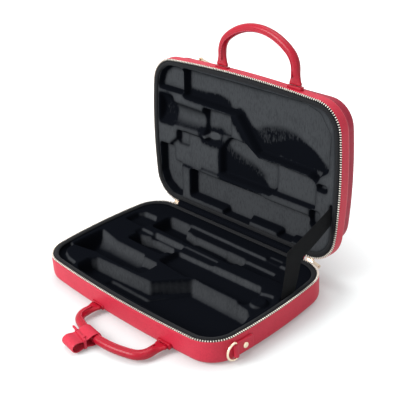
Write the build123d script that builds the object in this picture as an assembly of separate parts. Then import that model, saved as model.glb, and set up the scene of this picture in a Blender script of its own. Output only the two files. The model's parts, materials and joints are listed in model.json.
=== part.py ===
"""Zipped oboe case, a leather clamshell with a moulded plush insert in each half.

The case lies on its base with the lid standing open. +X is the player's right when the
handles face the player, -Y is the handle side, +Z is up. The origin is the centre of the
flat bottom. Every half is first drawn closed, with its rim on Z = 0 and its depth along
-Z, so both halves share one plan. All sizes are in millimetres.
"""
import os
from math import acos, asin, atan2, cos, degrees, hypot, pi, radians, sin, sqrt, tan

from build123d import *

# Plan of the case, seen from above
half_length = 160.0
half_width = 103.5
corner_radius = 39.0
front_bow = 8.0
side_bow = 8.5

# Depth of each half, from its rim
base_depth = 34.0
lid_depth = 18.0
base_edge_radius = 10.0
lid_edge_radius = 5.0

# Layers of a half, from the outside in
leather = 1.0
shell_wall = 1.8
glue_film = 0.05
cavity_floor = 0.8

# Rim: zip tape, teeth and the padded binding beside them
rim_gap = 0.2
teeth_width = 3.0
teeth_height = 2.2
teeth_edge = 0.2
tape_thickness = 0.8
tape_width = 8.0
binding_start = 3.9
binding_width = 5.2
binding_height = 2.0
zip_end_x = half_length - 45.0

# Inserts
base_deck_depth = 2.6
lid_deck_depth = 1.4
recess_corner = 2.0
insert_gap = 0.1

# Hinge
open_angle = 93.7
hinge_leaf_height = 14.0
hinge_leaf_length = 2 * half_length - 96.0
hinge_leaf = 1.2
hinge_gap = 0.3

# Pocket on the lid
pocket_inset = 6.0
pocket_front_y = 94.5
pocket_back_y = 89.5
pocket_corner = 34.0
pocket_depth = 36.0
pocket_edge_radius = 6.0
pocket_leather = 1.3
pocket_zip_length = 196.0
pocket_zip_slit = 6.0
pocket_tape_width = 12.0
piping_radius = 1.2

# Handles
handle_centre_x = 24.0
handle_half_span = 58.5
handle_leg = 18.0
shoulder_share = 0.7
grip_radius = 5.4
core_radius = 3.4
base_handle_reach = 48.0
lid_handle_reach = 61.5
base_handle_height = 8.5
lid_handle_rise = 9.0
foot_width = 17.0
foot_thickness = 4.4
foot_length = 17.0
foot_overlap = 0.4
welt_length = 22.0
welt_height = 7.0
welt_depth = 1.2
welt_corner = 2.5
handle_gap = 0.3
base_handle_droop = 0.3

# Wrap on the base handle, which holds both handles together when the case is carried
wrap_place = -18.0
wrap_width = 24.0
wrap_leather = 1.6
wrap_gap = 0.9
wrap_loop_radius = 5.6
wrap_loop_offset = 24.5
wrap_waist = 13.0
wrap_waist_thickness = 2 * wrap_leather + 1.2
wrap_waist_overlap = 0.4
wrap_belt_width = 4.0
wrap_belt_thickness = 1.2
wrap_belt_gap = 0.1
wrap_belt_corner = 1.1
wrap_tip_length = 10.0
snap_radius = 2.6
snap_rise = 1.3

# Shoulder strap rings on the two ends
ring_tab_y = 50.5 - half_width
ring_tab_length = 24.0
ring_tab_height = 16.4
ring_tab_z = 17.0
tab_leather = 1.3
tab_corner = 2.0
ring_wire = 1.4
ring_bar = 21.0
ring_corner = 2.0
ring_gap = 0.3
rivet_radius = 3.7
rivet_rise = 1.5
rivet_shank = 1.4

# Zip sliders and their pullers
slider_length = 10.0
slider_width = 7.0
slider_thickness = 4.4
slider_corner = 2.2
slider_channel = 3.8
slider_channel_depth = 0.6
slider_x = half_length - 41.5
slider_seat = 0.4
slider_drop = 0.7
pocket_slider_thickness = 2.6
pocket_slider_x = 10.0 - pocket_zip_length / 2
pocket_slider_gap = 0.1
bail_wire = 0.9
bail_height = 3.2
bail_sink = 0.5
bail_half_span = 3.0
puller_length = 20.0
puller_width = 5.0
puller_thickness = 1.2
puller_gap = 0.35
puller_wall = 0.8
puller_hole = 1.1
puller_lie = 12.0
knuckle_width = 3.2
neck_length = 1.0

# Stay, the ribbon that stops the lid
stay_width = 25.0
stay_thickness = 1.0
stay_x = half_length - 12.4
stay_base_y = 32.0
stay_lid_y = 37.0
stay_crease_front_y = 36.0
stay_crease_front_z = 52.0
stay_crease_back_y = 60.0
stay_crease_back_z = 31.0
stay_slot_depth = 7.0
stay_slot_gap = 0.3


# Helpers

def arc(start, middle, end):
    """Arc through three plan points."""
    return ThreePointArc((*start, 0), (*middle, 0), (*end, 0))


def toward(centre, point, distance):
    """Point at a distance from a centre, on the way to another point."""
    dx, dy = point[0] - centre[0], point[1] - centre[1]
    scale = distance / hypot(dx, dy)
    return (centre[0] + dx * scale, centre[1] + dy * scale)


def circle_crossing(c0, r0, c1, r1):
    """Crossing of two circles that lies on the front right of the plan."""
    dx, dy = c1[0] - c0[0], c1[1] - c0[1]
    d = hypot(dx, dy)
    a = (r0 * r0 - r1 * r1 + d * d) / (2 * d)
    h = sqrt(r0 * r0 - a * a)
    mx, my = c0[0] + dx * a / d, c0[1] + dy * a / d
    crossings = [(mx - dy * h / d, my + dx * h / d), (mx + dy * h / d, my - dx * h / d)]
    return min(crossings, key=lambda p: p[1] - p[0])


side_radius = (half_width**2 + side_bow**2) / (2 * side_bow)
side_centre = (half_length - side_radius, 0.0)


def corner_centre_on_line(line_y, corner, inset):
    """Centre of a corner round between a bowed side and a straight edge at line_y."""
    centre_y = abs(line_y) - corner
    reach = side_radius - inset - corner
    centre_x = side_centre[0] + sqrt(reach**2 - centre_y**2)
    return (centre_x, centre_y if line_y > 0 else -centre_y)


def plan_edges(corners, radius, side_arc, front_mid, front_y, back_y, side_x):
    """Edges of a symmetric plan from its two right hand corner centres."""
    front, back = corners
    if front_mid is None:
        front_start = (front[0], front_y)
    else:
        front_start = toward(front_mid[0], front, front_mid[1])
    front_end = toward(side_centre, front, side_arc)
    back_start = toward(side_centre, back, side_arc)
    back_end = (back[0], back_y)
    front_turn = toward(front, middle_of(front_start, front_end), radius)
    back_turn = toward(back, middle_of(back_start, back_end), radius)
    side_mid = (side_x, 0.0)

    def flip(p):
        return (-p[0], p[1])

    edges = [
        arc(front_start, front_turn, front_end),
        arc(front_end, side_mid, back_start),
        arc(back_start, back_turn, back_end),
        Line((*back_end, 0), (*flip(back_end), 0)),
        arc(flip(back_end), flip(back_turn), flip(back_start)),
        arc(flip(back_start), flip(side_mid), flip(front_end)),
        arc(flip(front_end), flip(front_turn), flip(front_start)),
    ]
    if front_mid is None:
        edges.append(Line((*flip(front_start), 0), (*front_start, 0)))
    else:
        edges.append(arc(flip(front_start), (0.0, front_y), front_start))
    return edges


def middle_of(a, b):
    return ((a[0] + b[0]) / 2, (a[1] + b[1]) / 2)


def case_wire(inset):
    """Outline of the case, moved inwards by inset."""
    front_radius = (half_length**2 + front_bow**2) / (2 * front_bow)
    front_centre = (0.0, front_radius - half_width)
    front = circle_crossing(
        front_centre, front_radius - corner_radius, side_centre, side_radius - corner_radius
    )
    back = corner_centre_on_line(half_width, corner_radius, 0.0)
    return Wire(
        plan_edges(
            (front, back),
            corner_radius - inset,
            side_radius - inset,
            (front_centre, front_radius - inset),
            inset - half_width,
            half_width - inset,
            half_length - inset,
        )
    )


def pocket_wire(inset):
    """Outline of the lid's pocket, moved inwards by inset."""
    front = corner_centre_on_line(-pocket_front_y, pocket_corner, pocket_inset)
    back = corner_centre_on_line(pocket_back_y, pocket_corner, pocket_inset)
    return Wire(
        plan_edges(
            (front, back),
            pocket_corner - inset,
            side_radius - pocket_inset - inset,
            None,
            inset - pocket_front_y,
            pocket_back_y - inset,
            half_length - pocket_inset - inset,
        )
    )


def slab(wire, top, bottom):
    """Plate between two depths under a plan outline."""
    return Pos(0, 0, -bottom) * extrude(Face(wire), bottom - top, dir=(0, 0, 1))


def tray_block(wire, top, bottom, radius):
    """Block under a plan outline with its lower edge rounded."""
    block = slab(wire, top, bottom)
    return fillet(block.edges().group_by(Axis.Z)[0], radius)


def ring(wire_of, outer, inner, top, bottom):
    return slab(wire_of(outer), top, bottom) - slab(wire_of(inner), top - 1, bottom + 1)


def block(x0, x1, y0, y1, top, bottom):
    """Box between plan limits and two depths."""
    box = Box(x1 - x0, y1 - y0, bottom - top)
    return Pos((x0 + x1) / 2, (y0 + y1) / 2, -(top + bottom) / 2) * box


def to_base(shape):
    return Pos(0, 0, base_depth) * shape


hinge_y = half_width + hinge_leaf
hinge_axis = Axis((0, hinge_y, base_depth), (1, 0, 0))


def to_lid(shape):
    """Turn a half drawn closed over, set it on the base and swing it open."""
    closed = Pos(0, 0, base_depth) * mirror(shape, Plane.XY)
    return closed.rotate(hinge_axis, -open_angle)


# Shells, skins and rims, the same for both halves

def half_cover(depth, edge_radius):
    top = tape_thickness + teeth_height + rim_gap + glue_film
    outside = tray_block(case_wire(0), top, depth, edge_radius)
    inside = tray_block(case_wire(leather), top - 1, depth - leather, edge_radius - leather)
    return outside - inside


def half_shell(depth, edge_radius):
    top = tape_thickness + teeth_height + rim_gap + glue_film
    outer = leather + glue_film
    inner = outer + shell_wall
    outside = tray_block(case_wire(outer), top, depth - outer, edge_radius - outer)
    inside = tray_block(case_wire(inner), top - 1, depth - inner, edge_radius - inner)
    return outside - inside


def zip_hinge_gap(width):
    """Block that clears the straight back of the rim, where there are no teeth."""
    back = half_width + 1
    return block(-zip_end_x, zip_end_x, half_width - width, back, -2, 6)


def zip_tape():
    bottom = rim_gap + teeth_height + tape_thickness
    band = ring(case_wire, teeth_edge, teeth_edge + tape_width, bottom - tape_thickness, bottom)
    return band - zip_hinge_gap(binding_start - teeth_edge)


def zip_teeth():
    top = rim_gap
    bottom = rim_gap + teeth_height
    row = ring(case_wire, teeth_edge, teeth_edge + teeth_width, top, bottom)
    crown = row.edges().group_by(Axis.Z)[-1]
    return chamfer(crown, teeth_height / 4) - zip_hinge_gap(teeth_edge + teeth_width + 1)


def rim_binding():
    bottom = rim_gap + teeth_height
    start = binding_start
    band = ring(case_wire, start, start + binding_width, bottom - binding_height, bottom)
    return fillet(band.edges().group_by(Axis.Z)[-1], binding_height * 0.4)


# Inserts

def corner_arc(before, corner, after, radius):
    """Ends and middle of the arc that rounds a corner as far as its edges allow."""
    reach_in = hypot(before[0] - corner[0], before[1] - corner[1])
    reach_out = hypot(after[0] - corner[0], after[1] - corner[1])
    u = ((before[0] - corner[0]) / reach_in, (before[1] - corner[1]) / reach_in)
    v = ((after[0] - corner[0]) / reach_out, (after[1] - corner[1]) / reach_out)
    half_angle = acos(u[0] * v[0] + u[1] * v[1]) / 2
    trim = min(radius / tan(half_angle), 0.45 * reach_in, 0.45 * reach_out)
    bend = trim * tan(half_angle)
    middle = toward((0, 0), (u[0] + v[0], u[1] + v[1]), bend / sin(half_angle) - bend)
    return (
        (corner[0] + u[0] * trim, corner[1] + u[1] * trim),
        (corner[0] + middle[0], corner[1] + middle[1]),
        (corner[0] + v[0] * trim, corner[1] + v[1] * trim),
    )


def rounded_outline(points, radius):
    """Closed outline through plan points with rounded corners."""
    count = len(points)
    arcs = [corner_arc(points[i - 1], points[i], points[(i + 1) % count], radius) for i in range(count)]
    edges = []
    for i, turn in enumerate(arcs):
        edges.append(arc(*turn))
        edges.append(Line((*turn[2], 0), (*arcs[(i + 1) % count][0], 0)))
    return Wire(edges)


def rounded_pocket(points, top, bottom, radius=recess_corner):
    return slab(rounded_outline(points, radius), top, bottom)


def insert_blank(depth, edge_radius, deck_depth):
    outer = leather + shell_wall + glue_film + insert_gap
    flange = tape_thickness + teeth_height + rim_gap + glue_film
    body = tray_block(case_wire(outer), flange, depth - outer, edge_radius - outer)
    deck = slab(case_wire(binding_start + binding_width + insert_gap), deck_depth, flange + 1)
    return body + deck


def round_bed(x0, x1, y, start_radius, end_radius, axis_depth):
    """Round bed along X, a cylinder or a cone that widens towards one end."""
    middle = Pos((x0 + x1) / 2, y, -axis_depth)
    if start_radius == end_radius:
        return middle * Cylinder(start_radius, x1 - x0, rotation=(0, 90, 0))
    return middle * Cone(start_radius, end_radius, x1 - x0, rotation=(0, 90, 0))


def lid_recesses(floor):
    """Hollows of the lid insert: three joint beds, the bell and the reed and tool spaces."""
    open_top = -1.0
    soft = 3.0
    bed = floor - 1
    ledge = floor - 6
    step = floor - 9
    top_joint = [
        (-88, 48), (-88, 86), (-26, 86), (-26, 94), (17, 94), (17, 86),
        (68, 86), (68, 93), (88, 93), (88, 89), (106, 89), (114, 79), (114, 50), (45, 50), (40, 48),
    ]
    middle_joint = [
        (-34, 1), (-34, 40), (52, 40), (58, 34), (58, -1), (32, -1), (12, -14), (-12, -16), (-22, -12),
    ]
    lower_joint = [
        (-98, -89), (-98, -52), (-4, -50), (31, -7), (112, -5), (122, 4), (128, -8), (139, -16),
        (140, -60), (124, -82), (100, -89),
    ]
    cut = rounded_pocket(top_joint, open_top, bed)
    cut += rounded_pocket(middle_joint, open_top, floor - 0.5, soft)
    cut += rounded_pocket([(56, -3), (56, 37), (122, 37), (122, 6), (112, 0)], open_top, ledge)
    cut += rounded_pocket(lower_joint, open_top, bed, soft)
    # Beds behind the bell, with the notch that takes its keys
    cut += rounded_pocket([(-126, 20), (-126, 46), (-70, 46), (-70, -3), (-98, -3)], open_top, step)
    cut += rounded_pocket([(-112, -2), (-112, 17), (-94, 17), (-94, -2)], open_top, ledge)
    cut += rounded_pocket([(-72, -2), (-72, 41), (-32, 41), (-32, -2)], open_top, step - 1)
    # Reed case space in the hinge side corner
    reed_space = [
        (-146, 24), (-146, 66), (-138, 82), (-122, 92), (-107, 92), (-107, 46), (-124, 46), (-124, 24),
    ]
    cut += rounded_pocket(reed_space, open_top, floor - 2, soft)
    # Bell: flare at the end, round body, tenon bed and the staple space behind it
    cut += round_bed(-146, -120, -27, 26, 26, bed - 26)
    cut += round_bed(-121, -61, -25, 21, 20, ledge + 1.2 - 21)
    tenon = [(-62, -44), (-62, -8), (-56, -8), (-56, -15), (-15, -15), (-15, -44)]
    cut += rounded_pocket(tenon, open_top, floor - 2)
    staple_space = [(-58, -22), (-58, 1), (-24, 1), (-20, -6), (-20, -22)]
    cut += rounded_pocket(staple_space, open_top, floor - 5, soft)
    # Tool space in the front corner and two small keyways
    tools = [(-146, -62), (-146, -56), (-101, -56), (-101, -88), (-126, -88), (-140, -78)]
    cut += rounded_pocket(tools, open_top, floor - 4, soft)
    cut += rounded_pocket([(126, 4), (126, 11), (139, 11), (139, 4)], open_top, ledge)
    cut += rounded_pocket([(117, 40), (117, 54), (122, 62), (130, 52), (130, 40)], open_top, ledge)
    return cut


def base_recesses(floor):
    """Hollows of the base insert, deeper than those of the lid."""
    open_top = -1.0
    soft = 4.0
    shallow = base_deck_depth + 4.4
    lower_joint = [
        (-97, -80), (-97, -64), (-90, -58), (3, -52), (38, -15), (118, -15), (128, -16), (138, -24),
        (143, -38), (144, -68), (127, -87), (-88, -87),
    ]
    trough = [
        (-60, -86), (-60, -62), (8, -61), (40, -19), (116, -19), (126, -20), (135, -27), (140, -40),
        (141, -67), (125, -85),
    ]
    cut = rounded_pocket(lower_joint, open_top, floor - 8.4, soft)
    cut += rounded_pocket(trough, open_top, floor - 4.4, soft)
    # Middle joint and the shallow space round the post at its end
    cut += rounded_pocket([(112, -18), (112, 16), (136, 21), (145, 8), (144, -26)], open_top, shallow, soft)
    middle_joint = [(-24, -10), (-24, 21), (112, 25), (118, 18), (118, -8), (36, -10), (26, -14)]
    cut += rounded_pocket(middle_joint, open_top, floor - 17.8, soft)
    cut += rounded_pocket([(-27, 19), (-27, 33), (36, 33), (36, 19)], open_top, shallow - 1.5)
    # Upper joint with its steps
    cut += rounded_pocket([(-61, 50), (-61, 76.5), (112, 75.5), (128, 62), (128, 48)], open_top, shallow)
    cut += rounded_pocket([(-36, 42), (-36, 62.5), (24, 62.5), (24, 42)], open_top, floor - 12.4)
    cut += rounded_pocket([(20, 41), (20, 63), (52, 63), (52, 41)], open_top, floor - 9.4)
    cut += rounded_pocket([(50, 46), (50, 62), (103, 62), (103, 46)], open_top, floor - 18.8)
    cut += rounded_pocket([(75, 70), (75, 83), (98, 83), (98, 70)], open_top, shallow - 1.8)
    staple_space = [(-96, 43), (-96, 73.5), (-58, 73.5), (-58, 66), (-34, 61), (-34, 43)]
    cut += rounded_pocket(staple_space, open_top, floor - 10.4, soft)
    # Beds between the bell and the upper joint
    cut += rounded_pocket([(-104, 18), (-104, 29), (-78, 29), (-78, 18)], open_top, shallow)
    cut += rounded_pocket([(-80, 10), (-80, 32), (-27, 32), (-27, 10)], open_top, floor - 19.4)
    tool_space = [(-98, 2), (-98, 20), (-70, 26), (-40, 26), (-34, 20), (-34, 2)]
    cut += rounded_pocket(tool_space, open_top, floor - 8.4, soft)
    # Reed case space, then the bell with its flare and tenon
    reed_space = [(-141, 34), (-141, 54), (-134, 61), (-112, 62), (-104, 54), (-104, 34)]
    cut += rounded_pocket(reed_space, open_top, floor - 19.4, soft)
    cut += round_bed(-142, -104, -31, 24, 17, 4.5)
    cut += round_bed(-105, -48, -31, 16.5, 16.5, 6)
    cut += rounded_pocket([(-50, -44), (-50, -19), (-20, -19), (-20, -44)], open_top, floor - 13.4, soft)
    # Groove round the pad in the front corner
    groove = [
        (-149, -56), (-146, -74), (-130, -89), (-103, -91), (-103, -82), (-120, -80), (-134, -74),
        (-141, -66), (-141, -56),
    ]
    cut += rounded_pocket(groove, open_top, shallow + 1)
    post_foot = shallow + 1
    post = Cylinder(10, post_foot - base_deck_depth)
    return cut - Pos(130, 2, -(base_deck_depth + post_foot) / 2) * post


def stay_slot(middle_y, depth):
    """Slot in an insert that takes the sewn end of the stay."""
    half = stay_width / 2 + stay_slot_gap
    wide = stay_thickness / 2 + stay_slot_gap
    return block(stay_x - wide, stay_x + wide, middle_y - half, middle_y + half, -1, depth)


def base_insert():
    floor = base_depth - leather - shell_wall - cavity_floor - glue_film
    blank = insert_blank(base_depth, base_edge_radius, base_deck_depth)
    return blank - base_recesses(floor) - stay_slot(stay_base_y, base_deck_depth + stay_slot_depth)


def lid_insert():
    floor = lid_depth - leather - shell_wall - cavity_floor - glue_film
    blank = insert_blank(lid_depth, lid_edge_radius, lid_deck_depth)
    return blank - lid_recesses(floor) - stay_slot(stay_lid_y, lid_deck_depth + stay_slot_depth)


# Hinge

def hinge_leaf_plate():
    """Half of the leather hinge, sewn outside the back of a half."""
    half = hinge_leaf_length / 2
    leaf = block(-half, half, half_width, hinge_y, hinge_gap, hinge_leaf_height)
    lower_corners = leaf.edges().filter_by(Axis.Y).group_by(Axis.Z)[0]
    return fillet(lower_corners, hinge_leaf_height / 4)


# Pocket

def pocket_gusset():
    top = lid_depth + glue_film
    bottom = pocket_depth - pocket_edge_radius
    wall = ring(pocket_wire, 0, pocket_leather, top, bottom)
    half = pocket_zip_length / 2
    mid = (top + bottom) / 2
    slit = pocket_zip_slit / 2
    return wall - block(-half, half, -pocket_front_y - 1, -pocket_front_y + 3, mid - slit, mid + slit)


def pocket_panel():
    top = pocket_depth - pocket_edge_radius + glue_film
    outside = tray_block(pocket_wire(0), top, pocket_depth, pocket_edge_radius - glue_film - 0.1)
    inner_radius = pocket_edge_radius - pocket_leather - 0.2
    inside = tray_block(pocket_wire(pocket_leather), top - 1, pocket_depth - pocket_leather, inner_radius)
    return outside - inside


def pocket_zip_middle():
    return (lid_depth + glue_film + pocket_depth - pocket_edge_radius) / 2


def pocket_zip_tape():
    """Tape behind the slit, in two halves that meet under the teeth."""
    half = pocket_zip_length / 2 - 1
    mid = pocket_zip_middle()
    y0 = -pocket_front_y + pocket_leather
    wide = pocket_tape_width / 2
    split = 0.3
    upper = block(-half, half, y0, y0 + tape_thickness, mid - wide, mid - split)
    lower = block(-half, half, y0, y0 + tape_thickness, mid + split, mid + wide)
    return Compound([upper, lower])


def pocket_zip_teeth():
    half = pocket_zip_length / 2 - 3
    mid = pocket_zip_middle()
    y1 = -pocket_front_y + pocket_leather
    chain = block(-half, half, y1 - 1.5, y1, mid - 1.6, mid + 1.6)
    return chamfer(chain.edges().filter_by(Axis.X).group_by(Axis.Y)[0], 0.5)


def piping():
    """Rolled leather cord around the foot of the pocket."""
    path = pocket_wire(-piping_radius)
    start = path.position_at(0)
    direction = path.tangent_at(0)
    profile = Plane(origin=start, x_dir=(0, 0, 1), z_dir=direction) * Circle(piping_radius)
    cord = sweep(profile, path=path)
    return Pos(0, 0, -(lid_depth + piping_radius + glue_film)) * cord


# Handles, drawn flat in a plan with the wall along X and the reach along -Y

def grip_path(reach):
    """Middle line of a grip: two straight legs and a three-centred arch."""
    span = handle_half_span
    rise = reach - grip_radius - handle_leg
    side = shoulder_share * rise
    crown = ((span - side) ** 2 + rise ** 2 - side ** 2) / (2 * (rise - side))
    turn = atan2(crown - rise, span - side)

    def shoulder(angle, sign):
        return sign * (span - side + side * cos(angle)), -handle_leg - side * sin(angle)

    left = [shoulder(angle, -1) for angle in (0, turn / 2, turn)]
    right = [shoulder(angle, 1) for angle in (turn, turn / 2, 0)]
    return Wire([
        Line((-span, -foot_length, 0), (*left[0], 0)),
        arc(*left),
        arc(left[2], (0, -handle_leg - rise), right[0]),
        arc(*right),
        Line((*right[2], 0), (span, -foot_length, 0)),
    ])


def grip_tube(reach, radius):
    wire = grip_path(reach)
    plane = Plane(origin=wire.position_at(0), z_dir=wire.tangent_at(0))
    return sweep(plane * Circle(radius), path=wire)


def foot(sign):
    """Flattened end of a rolled handle, with a round nose on the hinge line."""
    nose = foot_thickness / 2
    x = sign * handle_half_span
    start = nose - foot_overlap
    wide = Plane.XZ.offset(start) * Pos(x, 0) * RectangleRounded(foot_width, foot_thickness, nose * 0.9)
    round_end = Plane.XZ.offset(foot_length) * Pos(x, 0) * Circle(grip_radius)
    edge = Pos(x, -nose, 0) * Cylinder(nose, foot_width, rotation=(0, 90, 0))
    return loft([wide, round_end]) + edge


def handle_grip(reach):
    tube = grip_tube(reach, grip_radius)
    grip = tube + foot(-1) + foot(1)
    return grip - grip_tube(reach, core_radius + glue_film)


def handle_core(reach):
    return grip_tube(reach, core_radius)


def handle_line():
    """Distance of the handle's hinge line in front of the plan's centre."""
    return half_width + welt_depth + handle_gap + foot_thickness / 2


def place_handle(shape):
    return Pos(handle_centre_x, foot_thickness / 2 - handle_line(), 0) * shape


def handle_welts(depth_in_half):
    """Leather welts on the front wall around the handle's feet."""
    welts = []
    for sign in (-1, 1):
        x = handle_centre_x + sign * handle_half_span
        front = -half_width - welt_depth
        top = depth_in_half - welt_height / 2
        back = front + welt_depth + front_bow
        lip = block(x - welt_length / 2, x + welt_length / 2, front, back, top, top + welt_height)
        lip = fillet(lip.edges().filter_by(Axis.Y), welt_corner)
        welts.append(lip - slab(case_wire(-glue_film), 0, base_depth))
    return Compound([solid for welt in welts for solid in welt.solids()])


# Wrap on the base handle, drawn around its own grip with the loop along -Y

def strap_band(radius, thickness, width):
    return Cylinder(radius + thickness, width, rotation=(0, 90, 0)) - Cylinder(
        radius, width + 2, rotation=(0, 90, 0)
    )


def wrap_strap():
    """Strap that goes round the grip, closes at the waist and opens again into a loop."""
    r_grip = grip_radius + wrap_gap
    t = wrap_leather
    rear = strap_band(r_grip, t, wrap_width)
    loop = Pos(0, -wrap_loop_offset, 0) * strap_band(wrap_loop_radius, t, wrap_width)
    waist_length = wrap_loop_offset - r_grip - wrap_loop_radius
    waist = Box(wrap_width, waist_length + wrap_waist_overlap, wrap_waist_thickness)
    waist = Pos(0, -(r_grip + waist_length / 2 + wrap_waist_overlap), 0) * waist
    grip_bore = Cylinder(r_grip, wrap_width + 2, rotation=(0, 90, 0))
    loop_bore = Cylinder(wrap_loop_radius, wrap_width + 2, rotation=(0, 90, 0))
    return rear + loop + waist - grip_bore - Pos(0, -wrap_loop_offset, 0) * loop_bore


def wrap_belt():
    """Thin belt around the waist, with its pointed tip."""
    inner_x = wrap_width + 2 * wrap_belt_gap
    inner_z = wrap_waist_thickness + 2 * wrap_belt_gap
    outer_x = inner_x + 2 * wrap_belt_thickness
    outer_z = inner_z + 2 * wrap_belt_thickness
    band = Box(outer_x, wrap_belt_width, outer_z)
    band = fillet(band.edges().filter_by(Axis.Y), wrap_belt_corner)
    band -= Box(inner_x, wrap_belt_width + 2, inner_z)
    half = wrap_belt_width / 2
    tip_face = Polygon(
        (0, -half), (wrap_tip_length - half, -half), (wrap_tip_length, 0), (wrap_tip_length - half, half),
        (0, half), align=None,
    )
    tip = extrude(tip_face, wrap_belt_thickness)
    tip = Pos(-outer_x / 2 + 1, 0, outer_z / 2 - wrap_belt_thickness) * tip.rotate(Axis.Z, 180)
    return Pos(0, -wrap_waist, 0) * (band + tip)


def wrap_snap():
    stud = Cylinder(snap_radius, snap_rise, align=(Align.CENTER, Align.CENTER, Align.MIN))
    stud = fillet(stud.edges().group_by(Axis.Z)[-1], snap_rise * 0.6)
    belt_top = wrap_waist_thickness / 2 + wrap_belt_gap + wrap_belt_thickness
    return Pos(wrap_width / 4, -wrap_waist, belt_top + glue_film) * stud


def wrap_frame():
    """Place and heading of the grip where the wrap sits, in the handle's own plan."""
    wire = grip_path(base_handle_reach)
    steps = [i / 400 for i in range(401)]
    place = min(steps, key=lambda step: abs(wire.position_at(step).X - wrap_place))
    point = wire.position_at(place)
    heading = wire.tangent_at(place)
    return Location((point.X, point.Y, 0), (0, 0, degrees(atan2(heading.Y, heading.X))))


# Strap rings

def wall_frame():
    """Frame on the right side wall: X points outwards, Y towards the back."""
    angle = asin(ring_tab_y / side_radius)
    x = side_centre[0] + side_radius * cos(angle)
    return Location((x, ring_tab_y, ring_tab_z), (0, 0, degrees(angle)))


tab_thickness = 2 * tab_leather + glue_film
bar_x = glue_film + tab_leather + ring_gap + ring_wire
bar_y = -ring_tab_length / 2 - ring_gap - ring_wire


def ring_tab():
    """Leather tab folded round the ring's bar and riveted to the wall."""
    plate = Box(
        tab_thickness, ring_tab_length, ring_tab_height, align=(Align.MIN, Align.CENTER, Align.CENTER)
    )
    plate = fillet(plate.edges().filter_by(Axis.X).sort_by(Axis.Y)[-2:], tab_corner)
    plate = Pos(glue_film, 0, 0) * plate
    eye = ring_wire + ring_gap
    fold = Pos(bar_x, bar_y, 0) * Cylinder(eye + tab_leather, ring_tab_height)
    root = Pos(glue_film, bar_y, 0) * Box(
        tab_thickness, eye + tab_leather, ring_tab_height, align=(Align.MIN, Align.MIN, Align.CENTER)
    )
    bore = Pos(bar_x, bar_y, 0) * Cylinder(eye, ring_tab_height + 2)
    hole = Cylinder(rivet_shank + glue_film, 4 * tab_thickness, rotation=(0, 90, 0))
    return plate + fold + root - bore - hole


def rivet():
    """Domed rivet head on the tab with its shank through the leather."""
    head = Cylinder(rivet_radius, rivet_rise, align=(Align.CENTER, Align.CENTER, Align.MIN))
    head = fillet(head.edges().group_by(Axis.Z)[-1], rivet_rise * 0.8)
    shank = Cylinder(rivet_shank, tab_thickness, align=(Align.CENTER, Align.CENTER, Align.MAX))
    return Pos(tab_thickness + glue_film, 0, 0) * (head + shank).rotate(Axis.Y, 90)


def d_ring():
    """D ring: straight bar in the tab's fold and a round bow that reaches forward."""
    half = ring_bar / 2
    turn = ring_corner
    bend = turn * (1 - cos(pi / 4))
    path = Wire([
        Line((0, 0, turn - half), (0, 0, half - turn)),
        ThreePointArc((0, 0, half - turn), (0, -bend, half - bend), (0, -turn, half)),
        ThreePointArc((0, -turn, half), (0, -turn - half, 0), (0, -turn, -half)),
        ThreePointArc((0, -turn, -half), (0, -bend, bend - half), (0, 0, turn - half)),
    ])
    plane = Plane(origin=path.position_at(0), z_dir=path.tangent_at(0))
    return sweep(plane * Circle(ring_wire), path=path)


def place_on_wall(shape, sign):
    placed = wall_frame() * shape
    return placed if sign > 0 else mirror(placed, Plane.YZ)


# Sliders and pullers, drawn with the zip along X and the outer face up

def slider_body(thickness):
    """Slider with a channel for the teeth and a bail for the puller."""
    body = Box(slider_length, slider_width, thickness, align=(Align.CENTER, Align.CENTER, Align.MIN))
    body = fillet(body.edges().filter_by(Axis.Z), slider_corner)
    channel = Box(slider_length + 2, slider_channel, slider_channel_depth,
                  align=(Align.CENTER, Align.CENTER, Align.MIN))
    posts = Pos(0, 0, thickness - bail_sink) * Cylinder(bail_wire, bail_height, align=(
        Align.CENTER, Align.CENTER, Align.MIN))
    height = bail_top(thickness)
    bail = Pos(0, 0, height) * Cylinder(bail_wire, 2 * bail_half_span, rotation=(90, 0, 0))
    for side in (-bail_half_span, bail_half_span):
        bail += Pos(0, side, 0) * posts
        bail += Pos(0, side, height) * Sphere(bail_wire)
    return body - channel + bail


def bail_top(thickness):
    return thickness - bail_sink + bail_height


def puller():
    """Flat metal tag whose knuckle turns on a bail that lies along Y."""
    eye = bail_wire + puller_gap
    knuckle = Cylinder(eye + puller_wall, knuckle_width, rotation=(90, 0, 0))
    neck_end = eye + puller_wall + neck_length
    neck = Box(neck_end, knuckle_width, puller_thickness, align=(Align.MIN, Align.CENTER, Align.CENTER))
    tag = extrude(SlotOverall(puller_length, puller_width), puller_thickness / 2, both=True)
    tag = Pos(neck_end + puller_length / 2 - 1, 0, 0) * tag
    bore = Cylinder(eye, puller_width + 2, rotation=(90, 0, 0))
    hole = Pos(neck_end + puller_length - puller_width, 0, 0) * Cylinder(puller_hole, 4)
    return knuckle + neck + tag - bore - hole


def main_slider_frame(side):
    """Frame of a main slider: in the corner behind the hinge, facing back and down."""
    corner = (side * slider_x, half_width, base_depth + slider_drop)
    return Location(corner, (-135, 0, 0)) * Pos(0, 0, slider_width / 2 + slider_seat)


# Stay

def lid_point(y, depth):
    """Place of a point of the closed lid once the lid is open, as Y and Z."""
    swing = radians(open_angle)
    back, up = y - hinge_y, depth
    return (
        hinge_y + back * cos(swing) + up * sin(swing),
        base_depth - back * sin(swing) + up * cos(swing),
    )


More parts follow.
